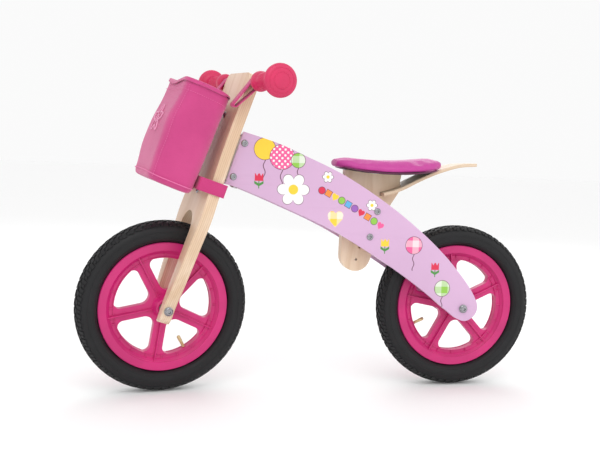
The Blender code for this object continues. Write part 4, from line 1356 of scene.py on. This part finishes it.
@dataclass
class Saddle:
    """A dipped, padded saddle with dark piping under its edge; the piping's dark colour is partly painted
    shade under the pad's rounded edge.
    """

    front: float = 0.302
    back: float = 0.503
    base: float = 0.4003
    dip: float = 0.011
    thickness: float = 0.0155
    slack: float = 0.0016
    lip: float = 0.0040
    cap: float = 0.0050
    across: int = 48
    along: int = 34

    def half_width(self, way: float) -> float:
        """Half the saddle's width at a share of its length."""
        body = 0.042 + 0.022 * math.sin(math.pi / 2 * min(way / 0.7, 1.0)) ** 2
        end = 1.0 - 0.45 * abs(2 * way - 1) ** 5
        return body * end

    def rail(self, way: float, share: float) -> Vector:
        """A point on the pad's lower outline, a share of its half width out."""
        t = 2 * way - 1
        x = (self.front + self.back) / 2 + t * (self.back - self.front) / 2
        return Vector((x, share * self.half_width(way), self.base + self.dip * t * t))

    def blank(self) -> Shape:
        """The slack pad, a little smaller than the finished one, with a lip that goes down round the base."""
        rings = []
        middle, reach = (self.front + self.back) / 2, (self.back - self.front) / 2 - self.slack
        side_power, top_power = 0.55, 0.62
        ends = (-1.0, -0.985, -0.95, -0.90)
        ways = [-0.84 + 1.68 * k / self.along for k in range(self.along + 1)]
        ways = list(ends) + ways + [-way for way in reversed(ends)]
        for t in ways:
            way = (t + 1) / 2
            blunt = 1.0 - 0.14 * max(0.0, (abs(t) - 0.90) / 0.10) ** 2
            x, base = middle + t * reach, self.base + self.dip * t * t
            half = (self.half_width(way) - self.slack) * (0.90 + 0.10 * blunt)
            high = (self.thickness + 0.0010 - self.slack - 0.0035 * t * t + 0.0022 * t) * blunt
            ring = []
            for k in range(self.across):
                a = math.tau * k / self.across
                y = half * math.copysign(abs(math.cos(a)) ** side_power, math.cos(a))
                z = math.copysign(abs(math.sin(a)) ** top_power, math.sin(a))
                crown = 0.60 + 0.06 * math.cos(math.pi * y / half / 2)
                rise = high * crown if z > 0 else high * 0.40 + self.lip
                z = high * 0.40 + z * rise
                ring.append(Vector((x, y, base + 0.0006 + z)))
            rings.append(ring)
        return loft(rings)

    def pad(self) -> Shape:
        """The pad, filled out by a short cloth simulation."""
        obj = link("saddle_pad_work", self.blank().placed(BIKE).mesh("saddle_pad_work"))
        remesh = obj.modifiers.new("remesh", "REMESH")
        remesh.mode = "VOXEL"
        remesh.voxel_size = 0.0040
        mesh = evaluated(obj)
        obj.modifiers.clear()
        obj.data = mesh
        start = [v.co.copy() for v in mesh.vertices]
        pins = obj.vertex_groups.new(name="pinned")
        inverse = BIKE.inverted()
        middle, reach = (self.front + self.back) / 2, (self.back - self.front) / 2
        for vertex in mesh.vertices:
            p = inverse @ vertex.co
            underside = self.base + self.dip * ((p.x - middle) / reach) ** 2
            if p.z < underside:
                pins.add([vertex.index], 1.0, "REPLACE")
        self.fill(obj, start)
        shape = finished(obj.data.copy(), [
            ("SMOOTH", {"factor": 0.5, "iterations": 3}),
            ("SUBSURF", {"levels": 1, "render_levels": 1})])
        bpy.data.objects.remove(obj, do_unlink=True)
        return shape

    def fill(self, obj: Any, start: Sequence[Vector]) -> None:
        """Blows the pad up as cloth and caps how far its points move.

        Args:
            obj: the remeshed pad, its underside in the group "pinned".
            start: its points before the simulation.
        """
        cloth = obj.modifiers.new("cloth", "CLOTH")
        settings = cloth.settings
        settings.quality = 6
        settings.use_pressure = True
        settings.uniform_pressure_force = 4.0
        settings.vertex_group_mass = "pinned"
        settings.effector_weights.gravity = 0.0
        frames = 20
        cloth.point_cache.frame_start, cloth.point_cache.frame_end = 1, frames
        for step in range(1, frames + 1):
            bpy.context.scene.frame_set(step)
        filled = evaluated(obj)
        obj.modifiers.clear()
        bpy.context.scene.frame_set(1)
        most = 0.0
        for vertex, before in zip(filled.vertices, start):
            move = vertex.co - before
            most = max(most, move.length)
            if move.length > self.cap:
                vertex.co = before + move * (self.cap / move.length)
        obj.data = filled
        log.info("saddle pad: points moved up to %.4f m, capped at %.4f m", most, self.cap)

    def build(self, finishes: dict[str, Any]) -> None:
        """Adds the pad and its piping, whose dark colour is partly painted shade along the pad's underside.
        """
        cover = finishes["saddle"]
        pad = add("saddle_pad_fine", self.pad(), cover, "frame", ["saddle_pad"], 60.0)
        start, length, share, drop = 0.075, 0.850, 0.895, 0.0024
        ways = [start + length * k / 48 for k in range(49)]
        outline = [self.rail(way, share) for way in ways] + [self.rail(way, -share) for way in reversed(ways)]
        line = [BIKE @ (p + Vector((0.0, 0.0, -drop))) for p in outline]
        # The dark piping runs where the pad's rounded edge turns under; its dark colour is partly painted
        # shade there.
        piping_and_shade = tube(line, 0.0013, 8, closed=True)
        add("saddle_piping", piping_and_shade, finishes["piping_and_shade"], "frame", (), 60.0)


@dataclass
class Fork:
    """The fork board, its brackets, the bar and the grips."""

    top: float = 0.430
    top_radius: float = 0.018
    edge: float = 0.0042
    outer: tuple[Point2, ...] = (
        (-0.0230, 0.0390), (-0.0120, 0.0460), (0.0120, 0.0466), (0.0500, 0.0550), (0.1200, 0.0660),
        (0.1700, 0.0730), (0.2100, 0.0690), (0.2600, 0.0630), (0.3200, 0.0615), (0.3800, 0.0640),
        (0.4120, 0.0660))
    slot_foot: float = 0.0270
    slot_radius: float = 0.0330
    slot_arch: float = 0.142
    bar_height: float = 0.4165
    grip_start: float = 0.0900
    grip_profile: tuple[Point2, ...] = (
        (0.0000, 0.0130), (0.0025, 0.0160), (0.0090, 0.0172), (0.0170, 0.0160), (0.0260, 0.0132),
        (0.0500, 0.0128), (0.0760, 0.0130), (0.0880, 0.0140), (0.0915, 0.0175), (0.0935, 0.0245),
        (0.0962, 0.0266), (0.1000, 0.0270), (0.1035, 0.0262), (0.1060, 0.0235), (0.1076, 0.0180),
        (0.1086, 0.0100), (0.1090, 0.0000))

    def board(self) -> Shape:
        """The two-legged board with rounded edges."""
        right = [(w, h) for h, w in through(self.outer, 8)]
        width, radius = self.outer[-1][1], self.top_radius
        right += arc((width - radius, self.top - radius), radius, 0.0, 90.0, 12)[1:]
        inner_right = [(self.slot_foot + 0.001, self.outer[0][0]), (self.slot_foot, 0.0)]
        inner_right += arc((0.0, self.slot_arch), self.slot_radius, 0.0, 90.0, 20)
        inner_left = [(-x, y) for x, y in inner_right[:-1]][::-1]
        left = [(-x, y) for x, y in right][::-1]
        outline = right + left + (inner_right + inner_left)[::-1]
        holes = [circle((0.0, height), Fasteners().hole, 16) for height in BRACKET_HEIGHTS]
        board = flat([outline] + holes, BOARD_THICKNESS, self.edge, 4, 50.0)
        return board.placed(BOARD @ FRONT_VIEW)

    def grip(self, side: int) -> Shape:
        """A soft grip with fine rings on its neck and a guard at its end."""
        profile = [(0.0073, 0.0)] + [(max(r, 0.0), z) for z, r in through(self.grip_profile, 6)]
        profile[-1] = (0.0, profile[-1][1])
        shape = revolve(profile, 56)
        for k in range(9):
            shape += hoop(circle((0.0128, 0.0300 + 0.0052 * k), 0.0007, 8), 48)
        for radius, z in ((0.0200, 0.1071), (0.0130, 0.1082)):
            shape += hoop(circle((radius, z), 0.0008, 8), 56)
        knob = revolve([(0.0, 0.0008), (0.0006, 0.0005), (0.0009, -0.0004), (0.0, -0.0004)], 8)
        dots = [Matrix.Rotation(math.tau * k / 24, 4, "Z") @ shift(0.0245, 0.0, 0.1052) for k in range(24)]
        shape += at_places(knob, dots)
        place = shift(0.0, side * self.grip_start, self.bar_height) @ (ALONG_Y if side > 0 else ALONG_MINUS_Y)
        return shape.placed(BOARD @ place)

    def build(self, finishes: dict[str, Any]) -> None:
        """Adds the steering's hard pieces."""
        wood = Plywood("board_plywood", BOARD, thickness_axis=0, length_axis=2).build()
        add("fork_board_fine", self.board(), wood, "steering", ["fork_board"], 30.0)
        for side, name in ((-1, "left"), (1, "right")):
            node = f"grip_{name}"
            add(f"{node}_fine", self.grip(side), finishes["grip"], "steering", [node], 50.0)
        dress_nodes(finishes["steel"], "handlebar", "steering_bracket_lower", "steering_bracket_upper",
                    "steering_pin", "steering_pin_nut", "front_axle")


@dataclass
class Bag:
    """The soft bag with its flap and straps."""

    back: float = 0.0265
    depth: float = 0.0850
    half: float = 0.0770
    low: float = 0.1975
    high: float = 0.3765
    lean: float = math.radians(2.5)
    corner: float = 0.024
    wall: float = 0.0020
    strap: float = 0.0016

    def place(self) -> Matrix:
        """The bag's own frame: its back top edge, +X rearwards."""
        return BOARD @ shift(-self.back, 0.0, self.high) @ Matrix.Rotation(self.lean, 4, "Y")

    def outline(self, inset: float) -> list[Point2]:
        """Points round a level section, evenly spread along its sides, starting at the back middle."""
        c = max(self.corner - inset, 0.002)
        x0, x1, y1 = -self.depth + inset, -inset, self.half - inset
        spacing = 0.006
        points: list[Point2] = []
        previous = (x1, 0.0)
        for k, centre in enumerate(((x1 - c, y1 - c), (x0 + c, y1 - c), (x0 + c, c - y1), (x1 - c, c - y1))):
            bend = arc(centre, c, 90.0 * k, 90.0 * k + 90.0, 6)
            steps = max(2, round(math.dist(previous, bend[0]) / spacing))
            points += between(previous, bend[0], steps) + bend[:-1]
            previous = bend[-1]
        return points + between(previous, (x1, 0.0), round(math.dist(previous, (x1, 0.0)) / spacing))

    def soften(self, x: float, y: float, height: float) -> Vector:
        """Where the slack cloth hangs at a point of the plain box; height runs 0 to 1 from bottom to top."""
        centre = -self.depth / 2
        front = max(0.0, (centre - x) / (self.depth / 2))
        sidewards = abs(y) / self.half
        belly = math.sin(math.pi * min(1.0, height * 1.05)) ** 2
        pull = 0.0040 * belly
        nx = -front * (0.5 + 0.5 * (1 - sidewards ** 4)) * pull + front * 0.0025 * (1 - belly)
        ny = math.copysign(sidewards ** 6 * pull * 0.8, y) - y * 0.030 * (1 - belly) * (1 - height)
        folds = 0.0011 * math.sin(9.0 * height + 26.0 * y) * math.sin(math.pi * height)
        folds += 0.0009 * math.sin(55.0 * x + 14.0 * height) * belly
        wave = 0.0032 * height ** 6 * math.sin(y * 52.0 + x * 30.0 + 0.6)
        z = (height - 1.0) * (self.high - self.low) + wave - 0.0030 * height ** 8
        z += 0.0035 * (1.0 - height) ** 4 * (1 - sidewards ** 3)
        nx += folds * (1.0 if front > 0.2 else 0.25)
        ny += folds * sidewards ** 4
        return Vector((x + nx, y + ny, z))

    def shell(self) -> Any:
        """Outer and inner skin joined at the hem, with a rounded bottom."""
        place = self.place()
        levels = [0.0, 0.012, 0.03, 0.06] + [0.10 + 0.90 * k / 24 for k in range(25)]
        rings = []
        for inset, order in ((0.0, levels), (self.wall * 0.6, levels[::-1])):
            base = self.outline(inset + 0.0012)
            centre = -self.depth / 2
            for height in order:
                squeeze = 1.0 - 0.11 * max(0.0, 1.0 - height / 0.06) ** 2
                lift = self.wall / (self.high - self.low) if inset else 0.0
                level = max(height, lift)
                rings.append([place @ self.soften(centre + (x - centre) * squeeze, y * squeeze, level)
                              for x, y in base])
        shape = finished(loft(rings).mesh("bag_fine", 60.0), [("SUBSURF", {"levels": 1, "render_levels": 1})])
        return cloth_uv(shape.mesh("bag_fine", 60.0), place)

    def seam(self, points: Sequence[tuple[float, float, float]], out: float = 0.0016) -> list[Vector]:
        """A line on the bag's outside from (x, y, height) points of the plain box."""
        centre = Vector((-self.depth / 2, 0.0))
        line = []
        for x, y, height in points:
            p = self.soften(x, y, height)
            away = Vector((x - centre.x, y - centre.y, 0.0))
            reach_x, reach_y = abs(away.x) / (self.depth / 2), abs(away.y) / self.half
            normal = Vector((math.copysign(reach_x ** 8, away.x), math.copysign(reach_y ** 8, away.y), 0.0))
            if normal.length < 1e-4:
                normal = Vector((-1.0, 0.0, 0.0))
            line.append(self.place() @ (p + normal.normalized() * (out - 0.0012)))
        return line

    def petals(self) -> list[Vector]:
        """A plain flower outline for the embroidery on the front."""
        line = []
        for k in range(120):
            a = math.tau * k / 120
            r = 0.0190 + 0.0065 * math.cos(5 * a)
            line.append((-self.depth, r * math.sin(a) * 1.1, 0.58 + r * math.cos(a) / (self.high - self.low)))
        return self.seam(line, 0.0020)

    def flap(self) -> Any:
        """The lid: a soft sheet that follows the wavy rim, its hem turned down at the front and sides."""
        place = self.place()
        base = self.outline(0.0)
        centre = Vector((-self.depth / 2, 0.0, 0.0))
        rings = []
        for side, shares in ((1, [k / 9 for k in range(1, 10)]), (-1, [k / 9 for k in range(9, 0, -1)])):
            for share in shares:
                ring = []
                for x, y in base:
                    rim = self.soften(x, y, 1.0)
                    p = centre + (rim - centre) * share
                    ripple = 0.0010 * math.sin(64.0 * y + 22.0 * x) * share * (1 - share)
                    sag = -0.0022 * (1 - share * share) + ripple
                    ring.append(place @ Vector((p.x, p.y, rim.z * share ** 2 + sag + 0.0023 + side * 0.0007)))
                rings.append(ring)
            if side > 0:
                for out, down in ((0.0007, 0.0014), (0.0011, 0.0064), (-0.0003, 0.0068), (-0.0001, 0.0020)):
                    ring = []
                    for x, y in base:
                        rim = self.soften(x, y, 1.0)
                        away = rim - centre
                        away.z = 0.0
                        near = min(1.0, max(0.0, (-x - 0.006) / 0.014))
                        drop = 0.0012 + (down - 0.0012) * near
                        p = rim + away.normalized() * (out + 0.0012) * near
                        ring.append(place @ Vector((p.x, p.y, rim.z + 0.0030 - drop)))
                    rings.append(ring)
        return cloth_uv(loft(rings).mesh("bag_flap_fine", 60.0), place)

    def add_strap(self, name: str, loops: Sequence[Sequence[Point2]], width: float, place: Matrix,
                  webbing: Any) -> None:
        """Adds a loop of webbing with a row of stitches near each edge.

        Args:
            name: the strap's name.
            loops: its outer and inner outlines.
            width: the webbing's width.
            place: where the outlines lie.
            webbing: its material.
        """
        shape = flat(loops, width, edge=0.0005, steps=2, sharp=60.0).placed(place)
        seam = round(0.4 * width, 4)
        for height in (-seam, seam):
            line = [place @ Vector((x, y, height)) for x, y in resampled(loops[0], spacing=0.002)]
            shape += sewn(line, length=0.0022, width=0.0006, pitch=0.0034, closed=True)
        mesh = cloth_uv(shape.mesh(f"bag_strap_{name}_fine", 50.0), BOARD)
        add(f"bag_strap_{name}_fine", mesh, webbing, "steering", [f"bag_strap_{name}"])

    def straps(self, webbing: Any) -> None:
        """Two bar straps and one board strap."""
        bar = (0.0, Fork().bar_height)
        hold = (-self.back + 0.0030, self.high - 0.010)
        bar_radius, hold_radius, bar_offset = 0.0073, 0.0025, 0.0785
        loops = [hull(circle(bar, bar_radius + extra, 40) + circle(hold, hold_radius + extra, 24))
                 for extra in (self.strap, 0.0)]
        for side, name in ((-1, "left"), (1, "right")):
            place = BOARD @ shift(0.0, side * bar_offset, 0.0) @ SIDE_VIEW
            self.add_strap(name, loops, 0.020, place, webbing)
        bolt_head, slack, bend, half = 0.0020, 0.0005, 0.004, 0.070
        rear = BOARD_THICKNESS / 2 + 0.0006 + BRACKET_THICKNESS + bolt_head + slack
        front = -self.back - 0.0044
        loops = []
        for extra in (self.strap, 0.0):
            centres = [(x, y) for x in (front - extra + bend, rear + extra - bend)
                       for y in (half + extra - bend, -half - extra + bend)]
            loops.append(hull([p for c in centres for p in circle(c, bend, 32)]))
        height = 0.22475
        self.add_strap("lower", loops, 0.0225, BOARD @ shift(0.0, 0.0, height), webbing)

    def build(self, finishes: dict[str, Any]) -> None:
        """Adds the bag, its seams, its flap and its straps."""
        add("bag_fine", self.shell(), finishes["cloth"], "steering", ["bag"])
        seams = Shape()
        heights = [0.05 + 0.90 * k / 30 for k in range(31)]
        cut = self.corner * 0.29
        for side in (-1, 1):
            front_edge = [(-self.depth + cut, side * (self.half - cut), height) for height in heights]
            seams += sewn(self.seam(front_edge, 0.0013), length=0.0026, width=0.0007, pitch=0.0040)
        foot = [(x, y, 0.065) for x, y in self.outline(0.0)]
        seams += tube(self.seam(foot, 0.0008), 0.0009, 6, closed=True)
        hem = [(x, y, 0.900) for x, y in self.outline(0.0)]
        seams += sewn(self.seam(hem, 0.0015), length=0.0026, width=0.0007, pitch=0.0040, closed=True)
        mesh = cloth_uv(seams.mesh("bag_seams", 60.0), self.place())
        add("bag_seams", mesh, finishes["thread"], "steering")
        heart, radius, middle = [], 0.0068, 0.58
        for k in range(40):
            a = math.tau * k / 40
            up = middle + radius * math.cos(a) / (self.high - self.low)
            heart.append((-self.depth, radius * math.sin(a), up))
        flower = Shape()
        for line in (self.petals(), self.seam(heart, 0.0020)):
            flower += tube(line, 0.0010, 6, closed=True)
        add("bag_embroidery", flower, finishes["embroidery"], "steering", (), 60.0)
        flap = add("bag_flap_fine", self.flap(), finishes["cloth"], "bag_flap", ["bag_flap"])
        self.straps(finishes["webbing"])


def between(a: Point2, b: Point2, steps: int) -> list[Point2]:
    """Points evenly spread from a up to, but not including, b."""
    return [(a[0] + (b[0] - a[0]) * k / steps, a[1] + (b[1] - a[1]) * k / steps) for k in range(steps)]


def resampled(loop: Sequence[Point2], spacing: float) -> list[Point2]:
    """Points evenly spread round a closed outline."""
    points: list[Point2] = []
    for a, b in zip(loop, [*loop[1:], loop[0]]):
        points += between(a, b, max(1, round(math.dist(a, b) / spacing)))
    return points


# Studio -------------------------------------------------------------------------------------------
@dataclass
class Studio:
    """A pale floor, soft lights and the camera."""

    azimuth: float = -0.22785
    elevation: float = 0.08158
    distance: float = 1.53184
    roll: float = 0.03856
    lens: float = 50.42
    target: tuple[float, float, float] = (-0.03079, 0.0086, 0.29166)

    def camera(self) -> None:
        """Places the camera round the target."""
        a, e = self.azimuth, self.elevation
        back = Vector((math.sin(a) * math.cos(e), -math.cos(a) * math.cos(e), math.sin(e)))
        right = (-back).cross(Vector((0.0, 0.0, 1.0))).normalized()
        up = right.cross(-back)
        c, s = math.cos(self.roll), math.sin(self.roll)
        place = Matrix((c * right + s * up, c * up - s * right, back)).transposed().to_4x4()
        place.translation = Vector(self.target) + self.distance * back
        data = bpy.data.cameras.new("camera")
        data.lens = self.lens
        data.sensor_width = 36.0
        data.sensor_fit = "HORIZONTAL"
        camera = new_object("camera", data)
        camera.matrix_world = place
        bpy.context.scene.camera = camera

    def light(self, name: str, size: float, power: float, spot: Sequence[float]) -> None:
        """A square area light aimed at the bike."""
        data = bpy.data.lights.new(name, "AREA")
        data.size = size
        data.energy = power
        lamp = new_object(name, data)
        lamp.location = spot
        lamp.rotation_euler = (Vector(spot) - Vector((0.0, 0.0, 0.25))).to_track_quat("Z", "Y").to_euler()

    def build(self) -> None:
        """Adds the floor, the lights, the world and the camera."""
        reach, depth, gap = 30.0, 0.02, 0.0005
        floor = link("floor", cuboid((-reach, -reach, -depth), (reach, reach, -gap)).mesh("floor"))
        shader = Shader("pale_floor")
        shader.set("Base Color", (0.985, 0.985, 0.985))
        shader.set("Roughness", 0.75)
        floor.data.materials.append(shader.material)
        world = bpy.data.worlds.new("soft_sky")
        world.use_nodes = True
        sky = world.node_tree.nodes["Background"].inputs
        sky["Color"].default_value = (1.0, 1.0, 1.0, 1.0)
        sky["Strength"].default_value = 0.96
        bpy.context.scene.world = world
        bpy.context.scene.view_settings.view_transform = "Standard"
        self.light("key_light", size=2.2, power=22.0, spot=(-0.7, -2.2, 2.3))
        self.light("fill_light", size=2.6, power=10.0, spot=(2.1, -1.6, 1.4))
        self.light("rim_light", size=1.8, power=12.0, spot=(0.6, 2.2, 1.9))
        self.camera()


def make_finishes() -> dict[str, Any]:
    """The materials that several pieces share."""
    return {finish.name: finish.build() for finish in (
        Moulded("wheel", linear(206, 34, 116), 0.36),
        TyreRubber("tyre"),
        Metal("steel", (0.66, 0.66, 0.67), 0.30),
        Metal("bolt", (0.34, 0.34, 0.36), 0.20),
        Metal("brass", (0.72, 0.56, 0.30), 0.30),
        Moulded("black", linear(34, 34, 36), 0.45),
        Moulded("grip", linear(210, 38, 92), 0.44, 0.00006, 600.0),
        Leatherette("saddle", linear(192, 56, 148)),
        # The piping's dark colour is partly painted shade under the saddle's edge.
        Leatherette("piping_and_shade", linear(92, 22, 66)),
        Woven("cloth", linear(208, 66, 134)),
        Woven("webbing", linear(206, 54, 124), 0.0014, 0.0003, 0.25, True),
        Woven("thread", linear(240, 120, 178), 0.0006, 0.0001, 0.2),
        Moulded("embroidery", linear(246, 170, 205), 0.6, 0.0001, 1500.0),
    )}


def main() -> None:
    """Builds every part of the bike in order."""
    logging.basicConfig(level=logging.INFO, format="%(message)s")
    finishes = make_finishes()
    FrameParts().build(finishes)
    Saddle().build(finishes)
    Fork().build(finishes)
    Bag().build(finishes)
    front_turn, rear_turn = math.radians(64.0), math.radians(25.0)
    Wheel("front", FRONT_WHEEL, hub_half=0.0240, first_spoke=front_turn, valve_window=3).build(finishes)
    Wheel("rear", REAR_WHEEL, hub_half=0.0345, first_spoke=rear_turn, valve_window=2).build(finishes)
    Fasteners().build(finishes)
    Studio().build()


if __name__ == "__main__":
    main()
